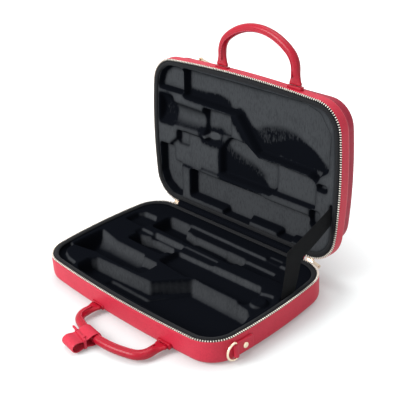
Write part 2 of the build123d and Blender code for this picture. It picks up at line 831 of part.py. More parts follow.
def lid_stay():
    """Ribbon from the base's slot over its crease to the lid's slot."""
    half = stay_width / 2
    bottom = base_depth - base_deck_depth - stay_slot_depth + stay_slot_gap
    deep = lid_deck_depth + stay_slot_depth - stay_slot_gap
    rim = base_depth
    points = [
        (stay_base_y - half, bottom),
        (stay_base_y - half, rim),
        (stay_crease_front_y, rim + stay_crease_front_z),
        lid_point(stay_lid_y - half, 0),
        lid_point(stay_lid_y - half, deep),
        lid_point(stay_lid_y + half, deep),
        lid_point(stay_lid_y + half, 0),
        (stay_crease_back_y, rim + stay_crease_back_z),
        (stay_base_y + half, rim),
        (stay_base_y + half, bottom),
    ]
    outline = Polyline(*[(stay_x, y, z) for y, z in points], close=True)
    return extrude(Face(Wire(outline.edges())), stay_thickness / 2, both=True)


# Assembly

os.makedirs("parts", exist_ok=True)
parts = {}

parts["base_cover"] = to_base(half_cover(base_depth, base_edge_radius))
parts["base_shell"] = to_base(half_shell(base_depth, base_edge_radius))
parts["base_insert"] = to_base(base_insert())
parts["base_zip_tape"] = to_base(zip_tape())
parts["base_zip_teeth"] = to_base(zip_teeth())
parts["base_rim_binding"] = to_base(rim_binding())
parts["hinge_leaf_base"] = to_base(hinge_leaf_plate())

parts["lid_cover"] = to_lid(half_cover(lid_depth, lid_edge_radius))
parts["lid_shell"] = to_lid(half_shell(lid_depth, lid_edge_radius))
parts["lid_insert"] = to_lid(lid_insert())
parts["lid_zip_tape"] = to_lid(zip_tape())
parts["lid_zip_teeth"] = to_lid(zip_teeth())
parts["lid_rim_binding"] = to_lid(rim_binding())
parts["hinge_leaf_lid"] = to_lid(hinge_leaf_plate())
parts["pocket_gusset"] = to_lid(pocket_gusset())
parts["pocket_panel"] = to_lid(pocket_panel())
parts["pocket_zip_tape"] = to_lid(pocket_zip_tape())
parts["pocket_zip_teeth"] = to_lid(pocket_zip_teeth())
parts["lid_piping"] = to_lid(piping())

# Handles on the front walls
base_handle_depth = base_depth - base_handle_height
base_hinge = (0, -handle_line(), base_handle_height)


def on_base_handle(shape):
    placed = Pos(0, 0, base_handle_height) * place_handle(shape)
    return placed.rotate(Axis(base_hinge, (1, 0, 0)), base_handle_droop)


def on_lid_handle(shape):
    return to_lid(Pos(0, 0, -lid_handle_rise) * place_handle(shape))


parts["base_handle_grip"] = on_base_handle(handle_grip(base_handle_reach))
parts["base_handle_core"] = on_base_handle(handle_core(base_handle_reach))
parts["base_handle_welts"] = to_base(handle_welts(base_handle_depth))
parts["lid_handle_grip"] = on_lid_handle(handle_grip(lid_handle_reach))
parts["lid_handle_core"] = on_lid_handle(handle_core(lid_handle_reach))
parts["lid_handle_welts"] = to_lid(handle_welts(lid_handle_rise))

for name, shape in (("handle_wrap", wrap_strap()), ("wrap_belt", wrap_belt()), ("wrap_snap", wrap_snap())):
    parts[name] = on_base_handle(wrap_frame() * shape)

for side, sign in (("left", -1), ("right", 1)):
    parts[side + "_ring_tab"] = place_on_wall(ring_tab(), sign)
    parts[side + "_ring_rivet"] = place_on_wall(rivet(), sign)
    parts[side + "_d_ring"] = place_on_wall(Pos(bar_x, bar_y, 0) * d_ring(), sign)
    frame = main_slider_frame(sign)
    parts[side + "_main_slider"] = frame * slider_body(slider_thickness)
    hanging = Pos(0, 0, bail_top(slider_thickness)) * puller().rotate(Axis.Y, -90)
    parts[side + "_main_puller"] = frame * hanging

# Pocket slider on the top edge of the open lid, its puller lying along the zip
pocket_frame = Location(
    (pocket_slider_x, -pocket_front_y - pocket_slider_gap, -pocket_zip_middle()), (90, 0, 0)
)
lying = Pos(0, 0, bail_top(pocket_slider_thickness)) * puller().rotate(Axis.Y, puller_lie)
parts["pocket_slider"] = to_lid(pocket_frame * slider_body(pocket_slider_thickness))
parts["pocket_puller"] = to_lid(pocket_frame * lying)

parts["lid_stay"] = lid_stay()

for name, shape in parts.items():
    export_step(shape, f"parts/{name}.step")
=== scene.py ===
"""Looks of a zipped oboe case: red leather covers, plush inserts, metal zip and rings.

Every piece is made in place, in metres, in the frame of the model that it dresses. Plan
sizes come from that model, and the rest from the property groups below.
"""
import json
from math import atan2, ceil, copysign, cos, pi, radians, sin, sqrt

import bmesh
import bpy
import numpy as np
from mathutils import Matrix, Vector, noise
from mathutils.bvhtree import BVHTree


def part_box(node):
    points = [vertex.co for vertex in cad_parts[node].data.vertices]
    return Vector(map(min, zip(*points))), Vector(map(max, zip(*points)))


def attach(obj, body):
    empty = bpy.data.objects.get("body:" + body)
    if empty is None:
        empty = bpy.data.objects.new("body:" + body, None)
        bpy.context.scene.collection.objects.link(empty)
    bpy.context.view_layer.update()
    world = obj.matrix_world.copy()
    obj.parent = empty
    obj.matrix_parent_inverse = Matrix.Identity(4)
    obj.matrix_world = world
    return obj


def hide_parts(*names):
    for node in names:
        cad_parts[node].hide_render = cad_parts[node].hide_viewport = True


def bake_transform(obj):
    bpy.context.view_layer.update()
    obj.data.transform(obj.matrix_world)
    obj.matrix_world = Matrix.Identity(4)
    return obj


bl_info = {
    "name": "Oboe Case",
    "version": (1, 0, 0),
    "blender": (4, 5, 0),
    "location": "3D View > Sidebar > Oboe Case",
    "description": "Dresses a zipped oboe case in leather, plush and metal",
    "category": "Object",
}

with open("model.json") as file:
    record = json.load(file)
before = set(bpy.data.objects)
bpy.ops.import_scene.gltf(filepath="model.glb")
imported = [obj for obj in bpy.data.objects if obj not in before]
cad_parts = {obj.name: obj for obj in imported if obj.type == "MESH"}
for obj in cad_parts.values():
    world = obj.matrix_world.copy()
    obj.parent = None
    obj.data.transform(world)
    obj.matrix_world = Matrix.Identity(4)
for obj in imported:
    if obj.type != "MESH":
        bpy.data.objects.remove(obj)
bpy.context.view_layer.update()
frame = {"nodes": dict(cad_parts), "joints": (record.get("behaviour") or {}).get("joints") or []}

MM = 0.001
cover_low, cover_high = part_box("base_cover")
HALF_LENGTH = (cover_high[0] - cover_low[0]) / 2
HALF_WIDTH = (cover_high[1] - cover_low[1]) / 2
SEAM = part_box("hinge_leaf_base")[1][2] + 0.3 * MM
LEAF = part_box("hinge_leaf_base")[1][1] - HALF_WIDTH
HINGE_Y = HALF_WIDTH + LEAF
OPEN = radians(93.7)


def srgb(code):
    """Linear colour of an sRGB hex code such as D4344A."""
    channels = [int(code[i:i + 2], 16) / 255 for i in (0, 2, 4)]
    return [c / 12.92 if c <= 0.04045 else ((c + 0.055) / 1.055) ** 2.4 for c in channels]


def length(label, about, default):
    return bpy.props.FloatProperty(name=label, description=about, default=default, unit="LENGTH")


def colour(label, about, code):
    return bpy.props.FloatVectorProperty(
        name=label, description=about, default=srgb(code), subtype="COLOR", min=0.0, max=1.0
    )


class CaseSizes(bpy.types.PropertyGroup):
    """Sizes of the case that the model doesn't state"""

    corner: length("Corner radius", "Plan radius of the four corners", 39.0 * MM)
    front_bow: length("Front bow", "How far the handle side bows out", 8.0 * MM)
    side_bow: length("Side bow", "How far each end bows out", 8.5 * MM)
    base_depth: length("Base depth", "Depth of the base from its rim", 34.0 * MM)
    lid_depth: length("Lid depth", "Depth of the lid from its rim", 18.0 * MM)
    base_round: length("Base edge", "Round of the base's lower edge", 10.0 * MM)
    lid_round: length("Lid edge", "Round of the lid's outer edge", 5.0 * MM)
    leather: length("Leather", "Thickness of the cover leather", 1.0 * MM)
    grip: length("Grip radius", "Radius of the rolled handles", 5.4 * MM)
    handle_x: length("Handle place", "Middle of the handles along the case", 24.0 * MM)
    handle_y: length("Handle line", "Place of the handles' flat ends from the middle", 105.0 * MM)
    handle_span: length("Handle span", "Half of the distance between a handle's legs", 58.5 * MM)
    handle_leg: length("Handle leg", "Straight part of a handle's leg", 18.0 * MM)
    handle_shoulder: bpy.props.FloatProperty(
        name="Handle shoulder", description="Shoulder radius, as a share of the rise", default=0.7
    )
    base_reach: length("Base handle reach", "How far the base's handle stands out", 48.0 * MM)
    lid_reach: length("Lid handle reach", "How far the lid's handle stands out", 61.5 * MM)
    # Teeth, stitches and grain are drawn coarser than real ones, so that they show
    tooth_pitch: length("Tooth pitch", "Distance from one zip tooth to the next", 2.9 * MM)
    stitch_pitch: length("Stitch pitch", "Distance from one stitch to the next", 3.2 * MM)
    grain: length("Leather grain", "Width of one pebble of the leather's grain", 1.3 * MM)


class CaseColours(bpy.types.PropertyGroup):
    """Colours of the case"""

    leather: colour("Cover leather", "Red of the covers", "CF2F46")
    leather_deep: colour("Leather crease", "Red in the grain's creases", "B01E34")
    handle: colour("Handle leather", "Red of the handles", "B6122C")
    thread: colour("Thread", "Thread of the seams on handles and pocket", "E0708A")
    pocket: colour("Pocket leather", "Thinner, redder leather of the pocket", "A91C38")
    # The plush's painted shade and painted light: the first on faces that turn up or aside, the
    # second on faces that turn to the front
    plush: colour("Plush", "Plush seen against its pile", "0E1015")
    plush_painted_light: colour("Plush with the pile", "Plush seen along its pile", "434548")
    tape: colour("Textile", "Black of the tape, binding and ribbon", "121316")
    teeth: colour("Zip teeth", "Pale metal of the zip", "E6DDD2")
    gold: colour("Fittings", "Pale gold of rings, rivets and sliders", "E9D6BC")
    floor: colour("Floor", "Studio floor", "D3DADA")
    board: colour("Board", "Pressed board of the shells", "6B5A48")
    board_fibre: colour("Board fibre", "Darker fibres of the board", "4A3D30")


# Node trees

def add_node(tree, kind, inputs=None, **settings):
    """Add a node, set its properties and fill or link its inputs."""
    made = tree.nodes.new(kind)
    for key, value in settings.items():
        setattr(made, key, value)
    for key, value in (inputs or {}).items():
        if isinstance(value, bpy.types.NodeSocket):
            tree.links.new(value, made.inputs[key])
        else:
            made.inputs[key].default_value = value
    return made


def new_material(name, **constants):
    """Tree of a new material, its principled shader with constants on its sockets, and the place.

    The place is the socket of Object coordinates.
    """
    material = bpy.data.materials.new(name)
    material.use_nodes = True
    tree = material.node_tree
    tree.nodes.clear()
    shader = add_node(tree, "ShaderNodeBsdfPrincipled")
    for key, value in constants.items():
        shader.inputs[key.replace("_", " ")].default_value = value
    add_node(tree, "ShaderNodeOutputMaterial", {"Surface": shader.outputs[0]})
    return tree, shader, add_node(tree, "ShaderNodeTexCoord").outputs["Object"]


def rgba(value):
    return (*value, 1.0)


def darker(tint):
    """The shade that a colour has in creases and between fibres."""
    return [channel * 0.6 for channel in tint]


def grained_leather(name, top, crease, grain, gloss):
    """Corrected grain cowhide, embossed: fine pebbles with a soft sheen on their tops."""
    tree, shader, place = new_material(name, Roughness=gloss, Specular_IOR_Level=0.3)
    pebbles = add_node(
        tree, "ShaderNodeTexVoronoi", {"Vector": place, "Scale": 1 / grain}, feature="SMOOTH_F1"
    )
    mottle = add_node(
        tree, "ShaderNodeTexNoise",
        {"Vector": place, "Scale": 1 / (28 * MM), "Detail": 3.0, "Roughness": 0.6},
    )
    spread = add_node(
        tree, "ShaderNodeMapRange",
        {"Value": mottle.outputs["Fac"], "From Min": 0.3, "From Max": 0.75, "To Max": 0.35},
    )
    groove = add_node(
        tree, "ShaderNodeMapRange",
        {"Value": pebbles.outputs["Distance"], "From Min": 0.35, "From Max": 0.75, "To Max": 0.35},
    )
    depth = add_node(
        tree, "ShaderNodeMath", {0: spread.outputs[0], 1: groove.outputs[0]},
        operation="ADD", use_clamp=True,
    )
    tint = add_node(
        tree, "ShaderNodeMix", {"Factor": depth.outputs[0], "A": rgba(top), "B": rgba(crease)},
        data_type="RGBA",
    )
    bump = add_node(
        tree, "ShaderNodeBump",
        {"Height": pebbles.outputs["Distance"], "Strength": 0.35, "Distance": -0.12 * MM},
    )
    tree.links.new(tint.outputs["Result"], shader.inputs["Base Color"])
    tree.links.new(bump.outputs[0], shader.inputs["Normal"])


def flocked_plush(name, painted_shade_tint, painted_light_tint):
    """Flocked velour on foam, with painted light and shade that follow the way its faces turn.

    Faces that turn to the front get painted light, less where they also turn to the right, and
    all other faces get painted shade. The attribute adds painted light above 0 and painted
    shade where it is well below. The tufts are drawn coarser than they are, so that they show.
    """
    tree, shader, place = new_material(name, Roughness=1.0, Specular_IOR_Level=0.0)
    across = add_node(tree, "ShaderNodeSeparateXYZ", {"Vector": place.node.outputs["Normal"]})
    # Painted light on faces that turn to the front, and painted shade where they turn to the right
    front_painted_light = add_node(
        tree, "ShaderNodeMapRange",
        {"Value": across.outputs["Y"], "From Min": -0.4, "From Max": -0.95},
    )
    side_painted_shade = add_node(
        tree, "ShaderNodeMapRange", {"Value": across.outputs["X"], "To Min": 1.0, "To Max": 0.4}
    )
    cloud = add_node(
        tree, "ShaderNodeTexNoise", {
            "Vector": place, "Scale": 1 / (26 * MM), "Detail": 5.0, "Roughness": 0.6,
            "Distortion": 0.6,
        },
    )
    uneven = add_node(
        tree, "ShaderNodeMapRange", {
            "Value": cloud.outputs["Fac"], "From Min": 0.3, "From Max": 0.7,
            "To Min": 0.86, "To Max": 1.1,
        },
    )
    brushed = add_node(
        tree, "ShaderNodeVectorMath", {0: place, 1: (1.0, 1.0, 0.3)}, operation="MULTIPLY"
    )
    tufts = add_node(
        tree, "ShaderNodeTexNoise",
        {"Vector": brushed.outputs[0], "Scale": 1 / (1.8 * MM), "Detail": 3.0, "Roughness": 0.6},
    )
    loose = add_node(
        tree, "ShaderNodeMapRange", {
            "Value": tufts.outputs["Fac"], "From Min": 0.35, "From Max": 0.65,
            "To Min": 0.4, "To Max": 1.7,
        },
    )
    mottled = add_node(
        tree, "ShaderNodeMapRange", {
            "Value": tufts.outputs["Fac"], "From Min": 0.3, "From Max": 0.7,
            "To Min": 0.72, "To Max": 1.22,
        },
    )
    # Share of painted light, with random tone from the cloud and the tufts
    painted_light_share = front_painted_light
    for factor in (side_painted_shade, uneven, mottled):
        painted_light_share = add_node(
            tree, "ShaderNodeMath", {0: painted_light_share.outputs[0], 1: factor.outputs[0]}, operation="MULTIPLY"
        )
    # Painted light and shade laid on the mesh as a per-point attribute, broken up by the tufts
    painted_shading = add_node(tree, "ShaderNodeAttribute", attribute_name="painted_shading")
    tufted_painted_shading = add_node(
        tree, "ShaderNodeMath", {0: painted_shading.outputs["Fac"], 1: loose.outputs[0]}, operation="MULTIPLY"
    )
    share = add_node(
        tree, "ShaderNodeMath", {0: painted_light_share.outputs[0], 1: tufted_painted_shading.outputs[0]},
        operation="ADD", use_clamp=True,
    )
    tint = add_node(
        tree, "ShaderNodeMix", {"Factor": share.outputs[0], "A": rgba(painted_shade_tint), "B": rgba(painted_light_tint)},
        data_type="RGBA",
    )
    pile = add_node(
        tree, "ShaderNodeTexNoise", {"Vector": place, "Scale": 1 / (0.9 * MM), "Detail": 2.0}
    )
    bump = add_node(
        tree, "ShaderNodeBump",
        {"Height": pile.outputs["Fac"], "Strength": 0.2, "Distance": 0.2 * MM},
    )
    tree.links.new(tint.outputs["Result"], shader.inputs["Base Color"])
    tree.links.new(bump.outputs[0], shader.inputs["Normal"])


def woven_textile(name, tint, rib):
    """Polyester webbing: close ribs that take away nearly all gloss."""
    tree, shader, place = new_material(
        name, Base_Color=rgba(tint), Roughness=0.85, Sheen_Weight=0.04, Specular_IOR_Level=0.25
    )
    ribs = add_node(
        tree, "ShaderNodeTexVoronoi", {"Vector": place, "Scale": 1 / rib},
        feature="F1", distance="CHEBYCHEV",
    )
    bump = add_node(
        tree, "ShaderNodeBump",
        {"Height": ribs.outputs["Distance"], "Strength": 0.4, "Distance": -0.15 * MM},
    )
    tree.links.new(bump.outputs[0], shader.inputs["Normal"])


def plated_metal(name, tint, roughness):
    """Zinc alloy with a bright plating, die cast and tumbled: fine waves in the gloss."""
    tree, shader, place = new_material(name, Base_Color=rgba(tint), Metallic=1.0)
    waves = add_node(
        tree, "ShaderNodeTexNoise", {"Vector": place, "Scale": 1 / (1.5 * MM), "Detail": 2.0}
    )
    gloss = add_node(
        tree, "ShaderNodeMapRange",
        {"Value": waves.outputs["Fac"], "To Min": roughness * 0.7, "To Max": roughness * 1.3},
    )
    tree.links.new(gloss.outputs[0], shader.inputs["Roughness"])


def two_tone(name, first, second, grain, detail, **constants):
    """Material whose colour wanders between two, in lumps of the grain's size."""
    tree, shader, place = new_material(name, **constants)
    lumps = add_node(
        tree, "ShaderNodeTexNoise", {"Vector": place, "Scale": 1 / grain, "Detail": detail}
    )
    tint = add_node(
        tree, "ShaderNodeMix",
        {"Factor": lumps.outputs["Fac"], "A": rgba(first), "B": rgba(second)}, data_type="RGBA",
    )
    tree.links.new(tint.outputs["Result"], shader.inputs["Base Color"])


def waxed_thread(name, tint):
    """Bonded nylon thread, twisted: matt with a slight wax gloss."""
    two_tone(name, tint, darker(tint), 0.5 * MM, 2.0, Roughness=0.5)


def pressed_board(name, tint, fibre):
    """Brown board, pressed from pulp: matt, with its fibres showing."""
    two_tone(name, tint, fibre, 2 * MM, 4.0, Roughness=0.9)


def seen_directly(tree):
    """1 for what the camera or a gloss sees, and 0 for light on its way to the case."""
    path = add_node(tree, "ShaderNodeLightPath").outputs
    return add_node(
        tree, "ShaderNodeMath", {0: path["Is Camera Ray"], 1: path["Is Glossy Ray"]},
        operation="MAXIMUM",
    ).outputs[0]


def studio_floor(name, tint):
    """Paper sweep, matt: white to the camera and in gloss, and it keeps the case's shadow.

    Its own light grows from the foot of the case outwards.
    """
    tree, shader, place = new_material(
        name, Base_Color=rgba(tint), Roughness=1.0, Specular_IOR_Level=0.0
    )
    radius = add_node(tree, "ShaderNodeVectorMath", {0: place}, operation="LENGTH")
    away = add_node(
        tree, "ShaderNodeMapRange", {
            "Value": radius.outputs["Value"], "From Min": 160 * MM, "From Max": 340 * MM,
            "To Min": 0.17, "To Max": 0.85,
        },
    )
    lift = add_node(
        tree, "ShaderNodeMath", {0: seen_directly(tree), 1: away.outputs[0]}, operation="MULTIPLY"
    )
    glow = add_node(tree, "ShaderNodeEmission", {"Strength": lift.outputs[0]})
    both = add_node(tree, "ShaderNodeAddShader", {0: shader.outputs[0], 1: glow.outputs[0]})
    output = next(n for n in tree.nodes if n.type == "OUTPUT_MATERIAL")
    tree.links.new(both.outputs[0], output.inputs["Surface"])


def materials():
    """The case's materials, made once."""
    if "cover_leather" in bpy.data.materials:
        return bpy.data.materials
    sizes = bpy.context.scene.oboe_case_sizes
    colours = bpy.context.scene.oboe_case_colours
    grained_leather("cover_leather", colours.leather, colours.leather_deep, sizes.grain, 0.5)
    for name, tint, gloss in (
        ("handle_leather", colours.handle, 0.32), ("pocket_leather", colours.pocket, 0.5)
    ):
        grained_leather(name, tint, darker(tint), sizes.grain, gloss)
    flocked_plush("flocked_plush", colours.plush, colours.plush_painted_light)
    woven_textile("woven_tape", colours.tape, 0.9 * MM)
    plated_metal("plated_teeth", colours.teeth, 0.3)
    plated_metal("plated_fittings", colours.gold, 0.25)
    waxed_thread("red_thread", colours.thread)
    pressed_board("pressed_board", colours.board, colours.board_fibre)
    studio_floor("paper_sweep", colours.floor)
    return bpy.data.materials


# Plan of the case

def crossing(c0, r0, c1, r1):
    """Front right crossing of two circles."""
    gap = c1 - c0
    along = (r0 * r0 - r1 * r1 + gap.length_squared) / (2 * gap.length)
    up = sqrt(r0 * r0 - along * along)
    way = gap.normalized()
    foot = c0 + way * along
    side = Vector((-way.y, way.x)) * up
    return min((foot + side, foot - side), key=lambda p: p.y - p.x)


def plan_arcs(sizes):
    """Arcs of the right half of the plan, front to back: centre, radius, two angles."""
    front_radius = (HALF_LENGTH ** 2 + sizes.front_bow ** 2) / (2 * sizes.front_bow)
    side_radius = (HALF_WIDTH ** 2 + sizes.side_bow ** 2) / (2 * sizes.side_bow)
    front = Vector((0, front_radius - HALF_WIDTH))
    side = Vector((HALF_LENGTH - side_radius, 0))
    near = crossing(front, front_radius - sizes.corner, side, side_radius - sizes.corner)
    far_y = HALF_WIDTH - sizes.corner
    far = Vector((side.x + sqrt((side_radius - sizes.corner) ** 2 - far_y ** 2), far_y))

    def heading(centre, point):
        return atan2(point.y - centre.y, point.x - centre.x)

    return [
        (front, front_radius, -pi / 2, heading(front, near)),
        (near, sizes.corner, heading(front, near), heading(side, near)),
        (side, side_radius, heading(side, near), heading(side, far)),
        (far, sizes.corner, heading(side, far), pi / 2),
    ]


def plan_ring(inset=0.0, spacing=2.5 * MM):
    """Closed outline, moved inwards by inset. Rings of any inset have matching points."""
    points = []
    arcs = plan_arcs(bpy.context.scene.oboe_case_sizes)
    for centre, radius, start, end in arcs:
        count = ceil(radius * (end - start) / spacing)
        reach = radius - inset
        for i in range(count):
            angle = start + (end - start) * i / count
            points.append((centre.x + reach * cos(angle), centre.y + reach * sin(angle)))
    corner = arcs[-1][0]
    back = ceil(corner.x / spacing)
    points += [(corner.x * (1 - i / back), HALF_WIDTH - inset) for i in range(back + 1)]
    return points + [(-x, y) for x, y in reversed(points[1:-1])]


def in_base(x, y, depth):
    return Vector((x, y, SEAM - depth))


def in_lid(x, y, depth):
    """Place in the open lid of a point given by its closed plan and its depth."""
    back = y - HINGE_Y
    return Vector((
        x,
        HINGE_Y + back * cos(OPEN) + depth * sin(OPEN),
        SEAM - back * sin(OPEN) + depth * cos(OPEN),
    ))


HALVES = {"base": in_base, "lid": in_lid}


# Mesh building

def link(obj):
    bpy.context.scene.collection.objects.link(obj)
    return obj


def object_of(name, form):
    """Object with the mesh of a bmesh, which is freed."""
    mesh = bpy.data.meshes.new(name)
    form.to_mesh(mesh)
    form.free()
    return link(bpy.data.objects.new(name, mesh))


def finish_mesh(name, form, material, smooth_angle=40.0):
    """Object from a bmesh, smooth apart from its sharp edges."""
    bmesh.ops.recalc_face_normals(form, faces=form.faces)
    made = object_of(name, form)
    made.data.materials.append(material)
    made.data.shade_smooth()
    made.data.set_sharp_from_angle(angle=radians(smooth_angle))
    return made


def bridge(form, rings, closed=False, caps=False):
    """Faces between each ring of verts and the next, back to the first if closed."""
    following = rings[1:] + (rings[:1] if closed else [])
    for a, b in zip(rings, following):
        for k in range(len(a)):
            j = (k + 1) % len(a)
            form.faces.new((a[k], a[j], b[j], b[k]))
    if caps:
        form.faces.new(rings[0])
        form.faces.new(rings[-1])


def skin(place, profile, **ends):
    """Bmesh swept round the case's plan. The profile holds pairs of inset and depth."""
    form = bmesh.new()
    rings = []
    for inset, depth in profile:
        rings.append([form.verts.new(place(x, y, depth)) for x, y in plan_ring(inset)])
    bridge(form, rings, **ends)
    return form


def quarter(inset, depth, radius, steps=8):
    """Profile points of a rounded lower edge that ends on the flat bottom."""
    angles = [pi / 2 * i / steps for i in range(steps + 1)]
    return [(inset + radius * (1 - cos(a)), depth - radius * (1 - sin(a))) for a in angles]


def merged_nodes(*nodes):
    """Bmesh of CAD nodes, their loose triangles joined."""
    form = bmesh.new()
    for node in nodes:
        form.from_mesh(frame["nodes"][node].data)
    bmesh.ops.remove_doubles(form, verts=form.verts, dist=0.005 * MM)
    return form


def soft_copy(name, nodes, material, voxel, passes=3, reshape=None):
    """Closed, rounded copy of CAD nodes: merged, remeshed in small cells and smoothed."""
    source = object_of(name + "_source", merged_nodes(*nodes))
    cells = source.modifiers.new("cells", "REMESH")
    cells.mode = "VOXEL"
    cells.voxel_size = voxel
    soften = source.modifiers.new("soften", "SMOOTH")
    soften.factor = 0.5
    soften.iterations = passes
    made = evaluated_copy(source, name, material)
    if reshape:
        reshape(made.data)
    made.data.shade_smooth()
    return made


def evaluated_copy(source, name, material=None):
    """Plain mesh of an object with its modifiers applied. The source is removed."""
    graph = bpy.context.evaluated_depsgraph_get()
    mesh = bpy.data.meshes.new_from_object(source.evaluated_get(graph))
    mesh.name = name
    old = source.data
    bpy.data.objects.remove(source)
    bpy.data.meshes.remove(old)
    if material:
        mesh.materials.clear()
        mesh.materials.append(material)
    return link(bpy.data.objects.new(name, mesh))


def smooth_copy(name, node, material, angle=35.0):
    """Copy of a CAD node, merged and shaded smooth between its sharp edges."""
    return finish_mesh(name, merged_nodes(node), material, angle)


def settle(obj, body, slot, *nodes):
    """Let a piece ride on a body in place of the nodes that it stands for."""
    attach(obj, body)
    if nodes:
        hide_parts(*nodes)


# Geometry nodes

def row_tree():
    """Tree that sets one rounded block after another along a path, standing on up."""
    if "row_along_path" in bpy.data.node_groups:
        return bpy.data.node_groups["row_along_path"]
    tree = bpy.data.node_groups.new("row_along_path", "GeometryNodeTree")
    face = tree.interface
    face.new_socket("Geometry", in_out="INPUT", socket_type="NodeSocketGeometry")
    for label in ("Pitch", "Along", "Across", "Height"):
        face.new_socket(label, in_out="INPUT", socket_type="NodeSocketFloat")
    face.new_socket("Up", in_out="INPUT", socket_type="NodeSocketVector")
    face.new_socket("Material", in_out="INPUT", socket_type="NodeSocketMaterial")
    face.new_socket("Geometry", in_out="OUTPUT", socket_type="NodeSocketGeometry")
    given = add_node(tree, "NodeGroupInput").outputs
    path = add_node(tree, "GeometryNodeMeshToCurve", {"Mesh": given["Geometry"]})
    even = add_node(
        tree, "GeometryNodeResampleCurve", {"Curve": path.outputs[0], "Length": given["Pitch"]},
        mode="LENGTH",
    )
    rod = add_node(tree, "GeometryNodeMeshUVSphere", {"Segments": 8, "Rings": 6, "Radius": 0.5})
    size = add_node(
        tree, "ShaderNodeCombineXYZ",
        {"X": given["Along"], "Y": given["Across"], "Z": given["Height"]},
    )
    block = add_node(
        tree, "GeometryNodeTransform", {"Geometry": rod.outputs["Mesh"], "Scale": size.outputs[0]}
    )
    tangent = add_node(tree, "GeometryNodeInputTangent")
    stand = add_node(tree, "FunctionNodeAlignEulerToVector", {"Vector": given["Up"]}, axis="Z")
    face_on = add_node(
        tree, "FunctionNodeAlignEulerToVector",
        {"Rotation": stand.outputs[0], "Vector": tangent.outputs[0]}, axis="X", pivot_axis="Z",
    )
    copies = add_node(
        tree, "GeometryNodeInstanceOnPoints",
        {"Points": even.outputs[0], "Instance": block.outputs[0], "Rotation": face_on.outputs[0]},
    )
    real = add_node(tree, "GeometryNodeRealizeInstances", {"Geometry": copies.outputs[0]})
    smooth = add_node(tree, "GeometryNodeSetShadeSmooth", {"Geometry": real.outputs[0]})
    painted = add_node(
        tree, "GeometryNodeSetMaterial",
        {"Geometry": smooth.outputs[0], "Material": given["Material"]},
    )
    add_node(tree, "NodeGroupOutput", {"Geometry": painted.outputs[0]})
    return tree


def row(name, points, closed, pitch, block, up, material):
    """Rounded blocks of one size in a row along points, as one plain mesh."""
    form = bmesh.new()
    verts = [form.verts.new(p) for p in points]
    for a, b in zip(verts, verts[1:] + (verts[:1] if closed else [])):
        form.edges.new((a, b))
    source = object_of(name + "_path", form)
    modifier = source.modifiers.new("row", "NODES")
    modifier.node_group = row_tree()
    values = {"Pitch": pitch, "Up": up, "Material": material}
    values.update(zip(("Along", "Across", "Height"), (side * MM for side in block)))
    for item in modifier.node_group.interface.items_tree:
        if item.in_out == "INPUT" and item.name in values:
            modifier[item.identifier] = values[item.name]
    return evaluated_copy(source, name)


# Blocks of the rows, in millimetres: along the row, across it and out of it
RIM_TOOTH, POCKET_TOOTH = (1.5, 3.2, 2.4), (1.4, 3.6, 1.6)
HANDLE_STITCH, POCKET_STITCH = (2.1, 0.7, 0.5), (2.2, 0.8, 0.6)


# Pieces

TURN_IN = 2.4 * MM  # Depth at which the cover leather begins to turn in over the rim


class MakeCovers(bpy.types.Operator):
    """Leather covers of both halves, turned in over their rims"""

    bl_idname = "oboe_case.covers"
    bl_label = "Covers"

    def execute(self, context):
        sizes = context.scene.oboe_case_sizes
        wall = sizes.leather
        lip = TURN_IN - 0.3 * MM
        for half, depth, edge in (
            ("base", sizes.base_depth, sizes.base_round),
            ("lid", sizes.lid_depth, sizes.lid_round),
        ):
            inner = quarter(wall, depth - wall, edge - wall)[::-1]
            inner += [(wall, TURN_IN), (0.7 * MM, lip)]
            outside = [(0.35 * MM, lip), (0.08 * MM, TURN_IN), (0.0, TURN_IN + 0.5 * MM)]
            middle = [(0.0, TURN_IN + (depth - edge - TURN_IN) * i / 6) for i in range(1, 6)]
            profile = inner + outside + middle + quarter(0.0, depth, edge)
            form = skin(HALVES[half], profile, caps=True)
            piece = finish_mesh(half + "_leather", form, materials()["cover_leather"], 70.0)
            settle(piece, half, "red_leather", half + "_cover")
        return {"FINISHED"}


# Section of the zip tape: inset and depth in millimetres
TAPE = ((0.5, 3.0), (8.2, 3.0), (8.2, 2.25), (4.2, 2.25), (3.4, 1.7), (0.9, 1.7), (0.5, 2.2))
# Inset and depth of the middle of the binding's bead, and half of its width and its height
BEAD = (6.5 * MM, 2.2 * MM, 2.7 * MM, 1.9 * MM)


class MakeRims(bpy.types.Operator):
    """Zip tape and padded binding round both rims"""

    bl_idname = "oboe_case.rims"
    bl_label = "Rims"

    def execute(self, context):
        tape = [(inset * MM, depth * MM) for inset, depth in TAPE]
        centre, foot, wide, high = BEAD
        angles = [pi * i / 12 for i in range(13)]
        bead = [(centre - wide * cos(a), foot - high * sin(a)) for a in angles]
        for half, place in HALVES.items():
            for name, profile, node in (
                ("_tape", tape, "_zip_tape"), ("_binding", bead, "_rim_binding")
            ):
                form = skin(place, profile, closed=True)
                piece = finish_mesh(half + name, form, materials()["woven_tape"])
                settle(piece, half, "black_textile", half + node)
        return {"FINISHED"}


# Place of the teeth beside the rim: clear of the other row's when the case is shut
TEETH_INSET = 1.5 * MM
TEETH_DEPTH = 1.3 * MM


class MakeZipTeeth(bpy.types.Operator):
    """Rows of metal teeth round three sides of both rims"""

    bl_idname = "oboe_case.zip_teeth"
    bl_label = "Zip teeth"

    def execute(self, context):
        pitch = context.scene.oboe_case_sizes.tooth_pitch
        end = abs(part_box("left_main_slider")[1][0])
        for half, place in HALVES.items():
            points = [
                place(x, y, TEETH_DEPTH) for x, y in plan_ring(TEETH_INSET, spacing=1.5 * MM)
                if y <= 0.9 * HALF_WIDTH or abs(x) >= end
            ]
            # The row begins after the gap at the hinge
            start = next(i for i, p in enumerate(points) if (p - points[i - 1]).length > end)
            points = points[start:] + points[:start]
            piece = row(
                half + "_teeth", points, False, pitch, RIM_TOOTH,
                place(0, 0, -1) - place(0, 0, 0), materials()["plated_teeth"],
            )
            settle(piece, half, "zip_metal", half + "_zip_teeth")
        return {"FINISHED"}
